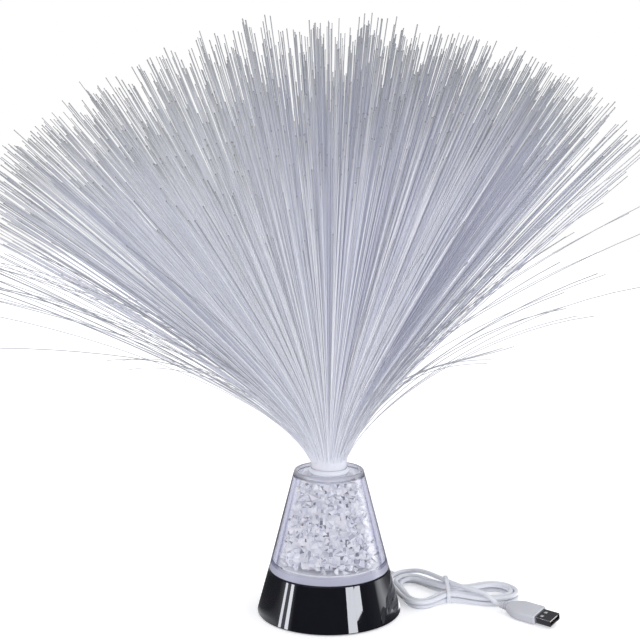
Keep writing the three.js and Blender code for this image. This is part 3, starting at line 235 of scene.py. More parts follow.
def grained(made, grain_mm, depth_mm, variation=0.0, stretch=(1, 1, 1)):
    """Gives a finish its grain, as relief and as a slight change of roughness."""
    material, tree, shader = made
    place = shade(tree, "TexCoord").outputs["Object"]
    scaled = shade(tree, "Mapping", {"Vector": place, "Scale": stretch}).outputs["Vector"]
    grain = shade(tree, "TexNoise", {"Vector": scaled, "Scale": 1 / (grain_mm * MM), "Detail": 3.0})
    bump = shade(tree, "Bump", {"Height": grain.outputs["Fac"], "Distance": depth_mm * MM, "Strength": 1.0})
    tree.links.new(bump.outputs["Normal"], shader.inputs["Normal"])
    if variation:
        rough = shader.inputs["Roughness"].default_value
        spread = shade(
            tree,
            "MapRange",
            {
                "Value": grain.outputs["Fac"],
                "From Min": NOISE_RANGE[0],
                "From Max": NOISE_RANGE[1],
                "To Min": max(0, rough - variation),
                "To Max": rough + variation,
            },
        )
        tree.links.new(spread.outputs["Result"], shader.inputs["Roughness"])
    return material


# ABS, injection moulded and polished: near black, mirror gloss, with a faint swell from the mould
gloss_abs = grained(finish("gloss_abs_moulded", "#111218", Roughness=0.03, IOR=1.54), 9, 0.004)

# ABS from a spark eroded mould: black and matt, with a fine grit, drawn at 0.5 mm so that it shows
matt_abs = grained(finish("matt_abs_moulded", "#1c1d20", Roughness=0.55, IOR=1.54), 0.5, 0.02, 0.08)

# Natural rubber sheet, die cut: a soft dark grey with dusty pores of half a millimetre
foot_rubber = grained(finish("foot_rubber_sheet", "#27272a", Roughness=0.9, IOR=1.52), 0.5, 0.05, 0.05)

# Steel, zinc plated and barrel finished: pale grey metal, lightly marked
plated_steel = grained(finish("zinc_plated_steel", "#c3c5c8", Metallic=1.0, Roughness=0.32), 0.8, 0.01, 0.08)

# Polypropylene, moulded, unpigmented white: milky and softly glossy
white_polypropylene = grained(
    finish(
        "white_polypropylene_moulded",
        "#e0e3eb",
        Roughness=0.32,
        IOR=1.49,
        Subsurface__Weight=0.15,
        Subsurface__Scale=0.002,
    ),
    2.0,
    0.01,
    0.05,
)

# PVC, extruded over the wires: cool white with a low sheen and a slight ripple along its length
cord_pvc = grained(finish("cord_pvc_extruded", "#e3e5ec", Roughness=0.38, IOR=1.53), 1.6, 0.02, 0.06)

# PVC, overmoulded round the plug: a greyer white than the cord, satin from a blasted mould
plug_pvc = grained(finish("plug_pvc_overmoulded", "#cbccd3", Roughness=0.42, IOR=1.53), 0.6, 0.012, 0.05)

# Steel sheet, nickel plated and folded: bright grey metal with drawing marks along it
nickel_sheet = grained(
    finish("nickel_plated_sheet", "#a9a9ad", Metallic=1.0, Roughness=0.16), 0.7, 0.006, 0.05, (0.2, 1, 1)
)

# Brass, gold flashed: the yellow of a contact spring
contact_brass = grained(finish("gold_flashed_brass", "#d8ab4e", Metallic=1.0, Roughness=0.22), 0.5, 0.004, 0.05)

# Liquid crystal polymer, moulded white: the tongue under the contacts, seen as pale spots in the latch holes
tongue_polymer = grained(finish("tongue_polymer_moulded", "#ecedf1", Roughness=0.45, IOR=1.6), 0.4, 0.01, 0.05)

# Nylon, moulded: ivory white connector housing
connector_nylon = grained(finish("connector_nylon_moulded", "#e7e4da", Roughness=0.45, IOR=1.53), 0.6, 0.01, 0.05)

# Epoxy moulded chip and switch housings: charcoal with a fine grit
chip_epoxy = grained(finish("chip_epoxy_moulded", "#242528", Roughness=0.6, IOR=1.55), 0.3, 0.01, 0.06)

# PVC wire insulation: red and black, thin and shiny
wire_red_pvc = grained(finish("red_wire_pvc_extruded", "#b02424", Roughness=0.3, IOR=1.53), 0.6, 0.006, 0.05)
wire_black_pvc = grained(finish("black_wire_pvc_extruded", "#1b1b1e", Roughness=0.3, IOR=1.53), 0.6, 0.006, 0.05)

# Epoxy, cast round the light: water clear with a faint milkiness
led_epoxy = grained(
    finish("led_epoxy_cast", "#eef1f6", Roughness=0.05, IOR=1.53, Transmission__Weight=0.85), 1.2, 0.004
)


def board_finish():
    """Glass epoxy board under a green solder mask, with copper tracks 1.2 mm apart that show through it."""
    made, tree, shader = finish("solder_mask_board", "#1c5a39", Roughness=0.35, IOR=1.55)
    place = shade(tree, "TexCoord").outputs["Object"]
    cells = shade(
        tree,
        "TexBrick",
        {
            "Vector": place,
            "Color1": srgb("#1c5a39"),
            "Color2": srgb("#206341"),
            "Mortar": srgb("#2f7a4c"),
            "Scale": 1 / (9.6 * MM),
            "Mortar Size": 0.02,
            "Brick Width": 0.5,
            "Row Height": 0.25,
        },
    )
    tree.links.new(cells.outputs["Color"], shader.inputs["Base Color"])
    bump = shade(tree, "Bump", {"Height": cells.outputs["Fac"], "Distance": 0.03 * MM})
    tree.links.new(bump.outputs["Normal"], shader.inputs["Normal"])
    return made


solder_mask = board_finish()

# Aluminium can in a shrunk plastic sleeve: dark and softly glossy
capacitor_sleeve = grained(finish("capacitor_sleeve_shrunk", "#2b2d33", Roughness=0.4, IOR=1.53), 0.8, 0.008, 0.05)


def edge_painted_shade(tree):
    """The colour of a clear wall, with painted shade where it is seen edge on: clear head on, violet grey between
    two darker lines where the eye looks along it, and darkest at its very edge. Its flat faces that point up are
    painted pale, as painted light."""
    facing = shade(tree, "LayerWeight", {"Blend": 0.35}).outputs["Facing"]
    ramp = shade(tree, "ValToRGB", {"Fac": facing})
    ramp.color_ramp.elements[0].position = 0.34
    ramp.color_ramp.elements[0].color = srgb("#fbfbff")
    for position, colour in ((0.41, "#8486a6"), (0.49, "#a2a3bf"), (0.6, "#a0a1bc"), (0.69, "#8486a2")):
        ramp.color_ramp.elements.new(position).color = srgb(colour)
    ramp.color_ramp.elements[-1].position = 0.8
    ramp.color_ramp.elements[-1].color = srgb("#6f7088")
    # Faces that point up are painted pale, as painted light
    upward = shade(tree, "SeparateXYZ", {"Vector": shade(tree, "TexCoord").outputs["Normal"]}).outputs["Z"]
    flat = shade(tree, "MapRange", {"Value": upward, "From Min": 0.5, "From Max": 0.8}).outputs["Result"]
    both = shade(tree, "MixRGB", {"Fac": flat, "Color1": ramp.outputs["Color"], "Color2": srgb("#ececf6")})
    return both.outputs["Color"]


COVER_FOOT_ENDS = 34.3, 34.9
COVER_RIM_STARTS = 94.6, 95.6


def cover_finish():
    """Clear walls between a frosted foot, so that the deck doesn't show through it, and a softly frosted rim."""
    made, tree, shader = finish("clear_polystyrene_moulded", "#ffffff", Roughness=0.02, IOR=1.59)
    height = shade(tree, "SeparateXYZ", {"Vector": shade(tree, "TexCoord").outputs["Object"]}).outputs["Z"]
    (low, high), (start, end) = ((a * MM, b * MM) for a, b in (COVER_FOOT_ENDS, COVER_RIM_STARTS))
    foot = shade(tree, "MapRange", {"Value": height, "From Min": high, "From Max": low}).outputs["Result"]
    rim = shade(tree, "MapRange", {"Value": height, "From Min": start, "From Max": end}).outputs["Result"]
    colour = edge_painted_shade(tree)
    for zone, tint in ((foot, "#c6c7da"), (rim, "#dcdde8")):
        colour = shade(tree, "MixRGB", {"Fac": zone, "Color1": colour, "Color2": srgb(tint)}).outputs["Color"]
    tree.links.new(colour, shader.inputs["Base Color"])
    clear = shade(tree, "MapRange", {"Value": foot, "To Min": 1.0, "To Max": 0.3}).outputs["Result"]
    frost = shade(tree, "MapRange", {"Value": rim, "To Max": -0.35}).outputs["Result"]
    through_it = shade(tree, "Math", {0: clear, 1: frost}, operation="ADD").outputs[0]
    tree.links.new(through_it, shader.inputs["Transmission Weight"])
    rough = shade(tree, "MapRange", {"Value": foot, "To Min": 0.02, "To Max": 0.22}).outputs["Result"]
    tree.links.new(rough, shader.inputs["Roughness"])
    return grained((made, tree, shader), 14, 0.004)


# Polystyrene, moulded and polished: water clear, with a painted violet grey shade where the wall is seen edge on
clear_polystyrene = cover_finish()

# Polystyrene, moulded and blasted: the same plastic, milky white, so that it spreads the light from below
opal_polystyrene = grained(
    finish("opal_polystyrene_blasted", "#f4f5fb", Roughness=0.45, IOR=1.59, Transmission__Weight=0.2),
    0.5,
    0.01,
    0.06,
)


def ice_finish():
    """Acrylic, cast and broken: half clear chips, each facet painted at random from smoky to white, as painted
    reflections of the room. The painted shade is stored in "facet", from 0 for the darkest to 1."""
    made, tree, shader = finish(
        "acrylic_ice_broken", "#f1f1f8", Roughness=0.04, IOR=1.49, Transmission__Weight=0.4
    )
    facet = shade(tree, "Attribute", attribute_name="facet").outputs["Fac"]
    ramp = shade(tree, "ValToRGB", {"Fac": facet})
    ramp.color_ramp.interpolation = "CONSTANT"
    ramp.color_ramp.elements[0].color = srgb("#72737f")
    for position, colour in ((0.07, "#b0b1bf"), (0.15, "#dedfe9"), (0.4, "#f1f1f7"), (0.7, "#fafafd")):
        ramp.color_ramp.elements.new(position).color = srgb(colour)
    ramp.color_ramp.elements[-1].position = 0.88
    ramp.color_ramp.elements[-1].color = srgb("#ffffff")
    tree.links.new(ramp.outputs["Color"], shader.inputs["Base Color"])
    return made


acrylic_ice = ice_finish()


def fibre_finish():
    """Acrylic fibre, drawn: pale lavender in a mass, greyer further out, painted paler at the neck as painted
    light against the shade of the dense bundle, and painted grey at the cut tips as painted shade. "along" runs
    from 0 at the neck to 1 at the tip, "tone" from 0 for a loose strand to 1 for the brightest, which are painted
    highlights."""
    made, tree, shader = finish("acrylic_fibre_drawn", "#dddfea", Roughness=0.25, IOR=1.49)
    tone = shade(tree, "Attribute", attribute_name="tone").outputs["Fac"]
    ramp = shade(tree, "ValToRGB", {"Fac": tone})
    ramp.color_ramp.elements[0].color = srgb("#a2a3b0")
    for position, colour in ((0.2, "#ced0dd"), (0.5, "#f2f3fb"), (0.8, "#fdfdff")):
        ramp.color_ramp.elements.new(position).color = srgb(colour)
    ramp.color_ramp.elements[-1].color = srgb("#ffffff")
    along = shade(tree, "Attribute", attribute_name="along").outputs["Fac"]
    colour = ramp.outputs["Color"]
    for value, start, end, before, after, tint in (
        (tone, 0.05, 0.15, 0.8, 0.0, "#9b9c9b"),
        (along, 0.3, 0.85, 0.0, 0.42, "#b3b6c6"),
        (along, 0.85, 0.97, 0.0, 0.66, "#989a9b"),
        # Painted shade: the cut tips grey
        (along, 0.996, 0.999, 0.0, 0.8, "#84848a"),
        # Painted light: paler towards the neck, against the shade of the dense bundle
        (along, 0.03, 0.5, 1.0, 0.0, "#f0f1f8"),
    ):
        span = {"Value": value, "From Min": start, "From Max": end, "To Min": before, "To Max": after}
        share = shade(tree, "MapRange", span).outputs["Result"]
        colour = shade(tree, "MixRGB", {"Fac": share, "Color1": colour, "Color2": srgb(tint)}).outputs["Color"]
    tree.links.new(colour, shader.inputs["Base Color"])
    return made


acrylic_fibre = fibre_finish()

# Epoxy, poured round the root of the bundle: milky white and waxy
potting_resin = grained(
    finish(
        "potting_resin_cast", "#dfe0e9", Roughness=0.3, IOR=1.5, Subsurface__Weight=0.2, Subsurface__Scale=0.003
    ),
    3.0,
    0.05,
    0.05,
)


def dressed(piece, material, body, slot, *stands_for, clear=False):
    """Gives a piece its material and ties it to the frame. A clear one casts next to no shadow."""
    piece.visible_shadow = not clear
    piece.data.materials.clear()
    piece.data.materials.append(material)
    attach(piece, body)
    if stands_for:
        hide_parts(*stands_for)


# The cord's route, as in the part's source. A share is that of a turn round the hank, from its guide's start

CORD_DIAMETER = 3.2
HANK_GUIDE = [
    (54, 52), (64, 50.5), (71, 41), (77.5, 30.5), (86, 23.4), (98, 26), (109.5, 33.5), (122.5, 34),
    (131, 22.5), (128, 11.5), (116.5, 4.8), (102.5, 7), (89.5, 11.6), (79.5, 11.4), (71.5, 4), (64, -1.5),
    (56.5, 1.5), (52.5, 13.5), (50, 27), (46, 40.5),
]
LEAD_POINTS = [(32.5, 68, 5.6), (39.5, 70.5, 3), (47, 66, 1.8), (54, 59, 1.6)]
TAIL_POINTS = [
    (44.9, 44.6, 5.7), (48.2, 52.6, 5.6), (53.6, 58.4, 5.5), (60.2, 58.8, 6.2), (65.6, 54.2, 7.8),
    (70, 47.4, 9), (74.2, 39.8, 9.9), (78.6, 31.8, 10.5), (83.4, 24.2, 10.7), (89, 17.4, 10.6),
    (95.4, 11.4, 10.3), (101.6, 6.8, 10), (107, 3, 9.1), (110.9, -0.4, 7),
]
HANK_TURNS = 3.9
HANK_STEPS = 750
HANK_START = 0.025
HANK_PITCH = 3.75
CLIMB_TURNS = 0.5
WAIST_SHARES = (0.178, 0.632)
WAIST_REACH = 0.1
WAIST_RISE = 1.4
GLAND_AZIMUTH = 65
GLAND_HEIGHT = 9.2
GLAND_END = 63.6
PLUG_PLACE = Vector((116.5, -4.6, 4.76))
PLUG_TURN = Matrix.Rotation(math.radians(-42.2), 4, "Z") @ Matrix.Rotation(math.radians(11.6), 4, "X")
TIE_PLACE = 82.5


def guide_point(share):
    """A place on the hank's middle loop, and the way outward from it."""
    along = (share % 1) * len(HANK_GUIDE)
    i, t = int(along), along % 1
    weights = ((1 - t) ** 3, 3 * t**3 - 6 * t * t + 4, 3 * t * t + 3 * t + 1 - 3 * t**3, t**3)
    slopes = (-((1 - t) ** 2), 3 * t * t - 4 * t, 2 * t + 1 - 3 * t * t, t * t)
    near = [Vector(HANK_GUIDE[(i - 1 + k) % len(HANK_GUIDE)]) for k in range(4)]
    place = sum((w * p for w, p in zip(weights, near)), Vector((0, 0))) / 6
    slope = sum((w * p for w, p in zip(slopes, near)), Vector((0, 0))) / 2
    return place, Vector((-slope.y, slope.x)).normalized()


def waist_rise(share, waist):
    """How far, from 0 to 1, a side of the hank is lifted where the tie gathers it."""
    off = abs((share - waist + 1.5) % 1 - 0.5)
    return (1 + math.cos(math.pi * off / WAIST_REACH)) / 2 if off < WAIST_REACH else 0


def hank_point(turns):
    """The hank spirals in on the floor, climbs a layer and spirals out again."""
    share = (HANK_START + turns) % 1
    place, outward = guide_point(share)
    place = place + outward * (abs(turns - HANK_TURNS / 2) - HANK_TURNS / 4) * HANK_PITCH
    t = min(1, max(0, (turns - HANK_TURNS / 2) / CLIMB_TURNS + 0.5))
    rise = HANK_PITCH * t * t * (3 - 2 * t) + WAIST_RISE * max(waist_rise(share, waist) for waist in WAIST_SHARES)
    return Vector((place.x, place.y, CORD_DIAMETER / 2 + rise))


gland_way = Vector((math.cos(math.radians(GLAND_AZIMUTH)), math.sin(math.radians(GLAND_AZIMUTH)), 0))
cord_exit = gland_way * GLAND_END + Vector((0, 0, GLAND_HEIGHT))
plug_way = PLUG_TURN @ Vector((1, 0, 0))
hank_line = [hank_point(HANK_TURNS * i / HANK_STEPS) for i in range(HANK_STEPS + 1)]
hank_start = hank_line[0] + (hank_line[0] - hank_line[1]).normalized() * CORD_DIAMETER
hank_end = hank_line[-1] + (hank_line[-1] - hank_line[-2]).normalized() * CORD_DIAMETER
lead_line = through(
    [cord_exit, cord_exit + gland_way * CORD_DIAMETER, *map(Vector, LEAD_POINTS)]
    + [hank_start, hank_line[0]]
)
tail_line = through(
    [hank_line[-1], hank_end, *map(Vector, TAIL_POINTS)]
    + [PLUG_PLACE - plug_way * CORD_DIAMETER, PLUG_PLACE + plug_way]
)
cord_line = lead_line[:-1] + hank_line + tail_line[1:]

cord_curve = bpy.data.curves.new("usb_cord", "CURVE")
cord_curve.dimensions = "3D"
cord_curve.bevel_depth = CORD_DIAMETER / 2 * MM
cord_curve.bevel_resolution = 5
cord_curve.use_fill_caps = True
run = cord_curve.splines.new("POLY")
run.points.add(len(cord_line) - 1)
for point, place in zip(run.points, cord_line):
    point.co = (*(place * MM), 1)
run.use_smooth = True
usb_cord = linked("usb_cord", cord_curve)
dressed(usb_cord, cord_pvc, "base", "cord_white", "cord_lead", "cord_hank", "cord_tail")


# Plug: overmould and shell, built along X from the tip of its relief

PLUG_FRAME = Matrix.Translation(PLUG_PLACE * MM) @ PLUG_TURN
OVERMOULD_START = 6.4
SHELL_END = 42.4
RIBS = 3
RIB_SIDES = 32
LATCH_PLACES = [(34.4, -2.5), (34.4, 2.5)]
LATCH_SIZE = 2.4


def bar_ring(x, width, height, corner):
    """A rounded rectangle across X."""
    w, h = width / 2, height / 2
    ring = rounded([(-w, -h, corner), (w, -h, corner), (w, h, corner), (-w, h, corner)])
    return [(x, y, z) for y, z in ring]


def overmould():
    """A waisted back, flat broad faces with soft edges, and a narrow lip round the shell."""
    stations = [
        (6.4, 6.6, 5.6, 2.6), (7.0, 7.6, 5.9, 2.6), (8.2, 9.0, 6.2, 2.5), (10.0, 11.0, 6.5, 2.2),
        (12.2, 13.2, 6.7, 1.9), (14.6, 14.8, 6.8, 1.6), (16.4, 15.5, 6.8, 1.5), (18.0, 15.6, 6.8, 1.4),
        (28.6, 15.6, 6.8, 1.4), (29.0, 15.5, 6.7, 1.4), (29.15, 15.1, 6.3, 1.3), (29.3, 15.1, 6.3, 1.3),
        (29.45, 15.5, 6.7, 1.4), (30.3, 15.5, 6.7, 1.4), (30.75, 15.2, 6.4, 1.3), (31.0, 14.6, 5.8, 1.1),
        (31.0, 12.5, 5.0, 0.6), (30.0, 12.5, 5.0, 0.6),
    ]
    return lofted([bar_ring(*station) for station in stations])


def relief_rings():
    """The ribbed relief behind the overmould, thickening towards it."""
    profile = [(0.0, 1.75)]
    pitch = OVERMOULD_START / RIBS
    for i in range(RIBS):
        radius = 2.1 + 0.8 * (i + 1) / RIBS
        start = i * pitch
        profile += [(start + 0.02, radius - 0.3), (start + 0.25, radius), (start + 0.95, radius)]
        profile += [(start + 1.25, radius - 0.25), (start + 1.35, 1.9), (start + pitch - 0.05, 1.9)]
    profile += [(OVERMOULD_START, 2.7), (OVERMOULD_START + 1.5, 2.7)]
    turns = [TAU * k / RIB_SIDES for k in range(RIB_SIDES)]
    return lofted([[(x, r * math.cos(turn), r * math.sin(turn)) for turn in turns] for x, r in profile])


def placed(made):
    """Moves a piece that was built along X to the plug's place."""
    made.matrix_world = PLUG_FRAME
    bpy.context.view_layer.update()
    made.data.transform(made.matrix_world)
    made.matrix_world = Matrix.Identity(4)
    return made


def joined(name, *parts, sharp=SHARP):
    """One mesh of several skins."""
    vertices, faces = [], []
    for more_vertices, more_faces in parts:
        faces += [tuple(i + len(vertices) for i in face) for face in more_faces]
        vertices += more_vertices
    return meshed(name, vertices, faces, sharp)


plug_body = placed(joined("usb_overmould", overmould(), relief_rings(), sharp=40))
dressed(plug_body, plug_pvc, "base", "cord_white", "plug_overmould")


def sheet_shell():
    """Folded sheet, open in front with a rolled lip."""
    stations = [
        (30.0, 12.0, 4.5, 0.6), (SHELL_END - 0.15, 12.0, 4.5, 0.6), (SHELL_END, 11.8, 4.3, 0.55),
        (SHELL_END, 11.5, 4.0, 0.4), (SHELL_END - 0.3, 11.4, 3.9, 0.35), (30.3, 11.4, 3.9, 0.35),
    ]
    return lofted([bar_ring(*station) for station in stations])


shell = meshed("usb_shell", *sheet_shell())
for along, aside in LATCH_PLACES:
    ends = [bar_ring(z, LATCH_SIZE, LATCH_SIZE, 0.3) for z in (-4, 4)]
    cut(shell, joined("hole", lofted([[(x + along, y + aside, z) for z, y, x in end] for end in ends])))
placed(shell)
dressed(shell, nickel_sheet, "base", "nickel", "plug_shell")


TIE_CORD_RADIUS = 1.9
TIE_REACH = 2.1
TIE_STEPS = 72
TIE_SECTION = [(-1.3, 0, 0.3), (1.3, 0, 0.3), (1.3, 0.75, 0.3), (-1.3, 0.75, 0.3)]
LEAD_SKIPPED = 40


def around(circles):
    """The shortest line round circles of (y, z, radius)."""
    turns = [TAU * k / 24 for k in range(24)]
    points = sorted((y + r * math.cos(turn), z + r * math.sin(turn)) for y, z, r in circles for turn in turns)

    def half(run):
        chain = []
        for p in run:
            while len(chain) > 1:
                (ax, ay), (bx, by) = chain[-2], chain[-1]
                if (bx - ax) * (p[1] - ay) - (by - ay) * (p[0] - ax) > 0:
                    break
                chain.pop()
            chain.append(p)
        return chain[:-1]

    return half(points) + half(points[::-1])


def evenly(outline, count):
    """Points at equal steps along a closed outline."""
    points = [Vector(p) for p in outline]
    lengths = [(points[(i + 1) % len(points)] - p).length for i, p in enumerate(points)]
    total, result, i, passed = sum(lengths), [], 0, 0
    for k in range(count):
        aim = total * k / count
        while passed + lengths[i] < aim:
            passed += lengths[i]
            i += 1
        result.append(points[i].lerp(points[(i + 1) % len(points)], (aim - passed) / lengths[i]))
    return result


def tie_band():
    """A flat band with soft edges, pulled round the waist of the hank."""
    circles = [(p.y, p.z, TIE_CORD_RADIUS) for p in cord_line[LEAD_SKIPPED:] if abs(p.x - TIE_PLACE) < TIE_REACH]
    inner = evenly(around(circles), TIE_STEPS)
    section = rounded(TIE_SECTION, 3)
    middle = sum(inner, Vector((0, 0))) / len(inner)
    rings = []
    for k, place in enumerate(inner):
        out = inner[(k + 1) % TIE_STEPS] - inner[k - 1]
        out = Vector((out.y, -out.x)).normalized()
        if out.dot(place - middle) < 0:
            out = -out
        rings.append(
            [(TIE_PLACE + x, place.x + out.x * rise, max(0.01, place.y + out.y * rise)) for x, rise in section]
        )
    return lofted(rings, closed=True)


tie = meshed("cord_tie_band", *tie_band(), sharp=50)
dressed(tie, white_polypropylene, "base", "white_plastic", "cord_tie")


# Base

BASE_RADIUS = 49
SEAM_RADIUS = 40.9
SEAM_HEIGHT = 29.7
WALL = 2.4
FOOT_HEIGHT = 0.7
DECK_UNDERSIDE = 27.3
COVER_SEAT_RADIUS = 31.5
ROUND_SIDES = 240
HOLDER_SIDES = 96
WALL_SPAN = (36, 54)
PEG_SIDES = 64
GLAND_BORE = 3.6
BUTTON_BORE = 4.3
BUTTON_AZIMUTH = 118
BUTTON_HEIGHT = 14.2


def base_radius(z):
    return BASE_RADIUS + (SEAM_RADIUS - BASE_RADIUS) * z / SEAM_HEIGHT


base_outline = rounded(
    [
        (base_radius(FOOT_HEIGHT), FOOT_HEIGHT, 0.35),
        (base_radius(29.35), 29.35, 0.3),
        (SEAM_RADIUS - 0.5, SEAM_HEIGHT, 0.3),
        (COVER_SEAT_RADIUS, SEAM_HEIGHT, 0.3),
        (COVER_SEAT_RADIUS, DECK_UNDERSIDE, 0.3),
        (base_radius(DECK_UNDERSIDE) - WALL, DECK_UNDERSIDE, 0.8),
        (base_radius(FOOT_HEIGHT) - WALL, FOOT_HEIGHT, 0.3),
    ]
)
base = meshed("base_cone", *turned(base_outline, ROUND_SIDES))


def peg(radius, azimuth, height):
    """A round bar along a radius and through the wall of the base, for cutting."""
    turn = Matrix.Rotation(math.radians(azimuth), 4, "Z")
    angles = [TAU * k / PEG_SIDES for k in range(PEG_SIDES)]
    circle = [(radius * math.cos(angle), height + radius * math.sin(angle)) for angle in angles]
    return joined("peg", lofted([[turn @ Vector((x, y, z)) for y, z in circle] for x in WALL_SPAN]))


cut(base, peg(GLAND_BORE, GLAND_AZIMUTH, GLAND_HEIGHT))
cut(base, peg(BUTTON_BORE, BUTTON_AZIMUTH, BUTTON_HEIGHT))
dressed(base, gloss_abs, "base", "gloss_black", "base_shell")


# Clear cover and bundle holder

cover_outline = rounded(
    [
        (40.2, 30.0, 0.4),
        (40.55, 30.5, 0.4),
        (23.3, 97.6, 1.0),
        (21.6, 97.6, 0.6),
        (21.3, 95.4, 0.5),
        (11.4, 95.4, 0.3),
        (11.4, 93.4, 0.3),
        (21.3, 93.4, 1.6),
        (35.5, 35.6, 1.2),
        (35.5, 30.0, 0.3),
    ]
)
cover = meshed("clear_cone", *turned(cover_outline, ROUND_SIDES))
dressed(cover, clear_polystyrene, "base", "clear_plastic", "clear_cover", clear=True)
cover.visible_diffuse = False

holder_outline = rounded(
    [
        (8.6, 81.7, 0.2),
        (11.1, 81.7, 0.5),
        (11.1, 95.7, 0.2),
        (12.8, 95.7, 0.5),
        (13.6, 97.3, 1.6),
        (12.6, 98.9, 0.8),
        (11.9, 98.9, 0.3),
        (9.9, 94.9, 0.8),
        (9.9, 83.1, 0.2),
        (8.6, 83.1, 0.2),
    ]
)
holder = meshed("holder_collar", *turned(holder_outline, HOLDER_SIDES))
dressed(holder, white_polypropylene, "holder", "white_plastic", "bundle_holder")


# Acrylic ice

CHAMBER_FOOT = 35.6
CHAMBER_TOP = 93.4
TRAY_RADIUS = 35.2
BARREL_FOOT = 81.7
BARREL_ROOM = 11.4
LUMP_SIZE = 4.2
LUMP_HEIGHT = 2.4
CORE_STEP = 2.6
CORE_SIDES = 72
THROWS = 90000
CHIP_SIZES = (2.2, 3.9)
CHIP_FOOT = 33
CHIP_TOP = 92.6
LOW_CHIP_TOP = 42
WHOLE_HEAP_SHARE = 0.7
CHIP_POINTS = 11
CHIP_POINT_GAP = 0.55


def chamber_radius(z):
    return 35.5 - 14.2 * max(0, (z - CHAMBER_FOOT) / (CHAMBER_TOP - CHAMBER_FOOT))


def tray_height(r):
    return 31.8 + 3.4 * (r / TRAY_RADIUS) ** 2


def core_radius(z):
    """The middle of the heap, where no single chip can be made out any more."""
    return min(chamber_radius(z) - 5.5, 29) - 0.02 * (z - 60)


def core():
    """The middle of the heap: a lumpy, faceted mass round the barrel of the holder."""
    corners = [
        (11.9, 91.5, 1), (core_radius(91), 91.5, 2), (core_radius(40), 39, 3), (25, 35.2, 2), (0.3, 33.4, 0.2),
        (0.3, 79.8, 0.2), (11.9, 80.6, 0.5),
    ]
    outline = rounded(corners, 3)
    fine = []
    for a, b in zip(outline, outline[1:] + outline[:1]):
        count = max(1, round((b - a).length / CORE_STEP))
        fine += [a.lerp(b, i / count) for i in range(count)]
    vertices, faces = turned(fine, CORE_SIDES)
    bumpy = []
    for x, y, z in vertices:
        p = Vector((x, y, z))
        r = math.hypot(x, y)
        push = noise.noise(p / LUMP_SIZE) * LUMP_HEIGHT if r > 12.5 and z > 36 else 0
        bumpy.append(p + Vector((x, y, 0)) / max(r, 1) * push)
    return bumpy, faces


def chip(chance, size):
    """A broken chip: the hull of a few points thrown on an uneven ball."""
    points = []
    while len(points) < CHIP_POINTS:
        p = Vector((chance.gauss(0, 1), chance.gauss(0, 1), chance.gauss(0, 1))).normalized()
        if all((p - q).length > CHIP_POINT_GAP for q in points):
            points.append(p)
    squeeze = Vector((chance.uniform(0.75, 1.1), chance.uniform(0.75, 1.1), chance.uniform(0.6, 0.95)))
    turn = Matrix.Rotation(chance.uniform(0, TAU), 3, Vector((chance.random(), chance.random(), 1)))
    return [turn @ (p * squeeze) * size for p in points]


def ice():
    """Chips thrown between the core and the walls, kept where they find room, and each facet given a random
    painted shade that stands for its reflection of the room.
    """
    chance = random.Random(5)
    heap = bmesh.new()
    facet = heap.faces.layers.float.new("facet")
    places = []
    for _ in range(THROWS):
        z = chance.uniform(CHIP_FOOT, CHIP_TOP if chance.random() < WHOLE_HEAP_SHARE else LOW_CHIP_TOP)
        r = chamber_radius(z) * math.sqrt(chance.random())
        turn = chance.uniform(0, TAU)
        size = chance.uniform(*CHIP_SIZES)
        if not core_radius(z) - 0.5 <= r <= chamber_radius(z) - size * 0.8 - 0.2:
            continue
        if not tray_height(r) + size * 0.6 <= z <= CHAMBER_TOP - size - 0.2:
            continue
        if z > BARREL_FOOT - size and r < BARREL_ROOM + size:
            continue
        place = Vector((r * math.cos(turn), r * math.sin(turn), z))
        if all((place - other).length > 0.8 * (size + reach) for other, reach in places):
            places.append((place, size))
    for place, size in places:
        verts = [heap.verts.new((place + p) * MM) for p in chip(chance, size * 1.12)]
        hull = bmesh.ops.convex_hull(heap, input=verts)
        inner = [v for v in hull["geom_interior"] if isinstance(v, bmesh.types.BMVert)]
        bmesh.ops.delete(heap, geom=inner, context="VERTS")
    # Each facet gets a random painted shade, standing for its reflection of the room
    for face in heap.faces:
        face[facet] = chance.random()
    mesh = bpy.data.meshes.new("acrylic_ice_chips")
    heap.to_mesh(mesh)
    heap.free()
    return linked("acrylic_ice_chips", mesh)


ice_core = meshed("acrylic_ice_core", *core(), sharp=8)
ice_core.data.shade_flat()
# The core's facets get random painted shades too, standing for their reflections of the room
painted_reflection_chance = random.Random(9)
marks = ice_core.data.attributes.new("facet", "FLOAT", "FACE")
marks.data.foreach_set("value", [painted_reflection_chance.random() for _ in ice_core.data.polygons])
dressed(ice_core, acrylic_ice, "base", "acrylic", "acrylic_ice", clear=True)
dressed(ice(), acrylic_ice, "base", "acrylic", "acrylic_ice", clear=True)


# Fibre bundle. The strands are drawn thicker than the real ones, 0.64 mm instead of about 0.3, so that they show

NECK_HEIGHT = 98.9
SPRAY_LENGTH = 298.5
STRAND_COUNT = 2650
DENSE_REACH = 0.84
DENSE_ODDS = 0.88
LENGTH_SPREAD = 0.16
SHEET_COUNT = 74
SHEET_REACH = (0.965, 1.0)
SHEET_WAVE = 0.09
NECK_RADIUS = 9.8
STRAND_RADIUS = 0.32
BRIGHT_RADIUS = 0.4
BRIGHT_STREAK = 0.3
BRIGHT_ODDS = 0.05
STRAY_RADIUS = 0.27
FINE_STRAY_RADIUS = 0.25
LOOSE_SHARE = 0.86
LOOSE_ODDS = 0.35
STRAND_SIDES = 4
STRAND_STEPS = 20
FINE_STEPS = 60
BEND_SHARE = 0.66
BOX_MARGIN = 0.001

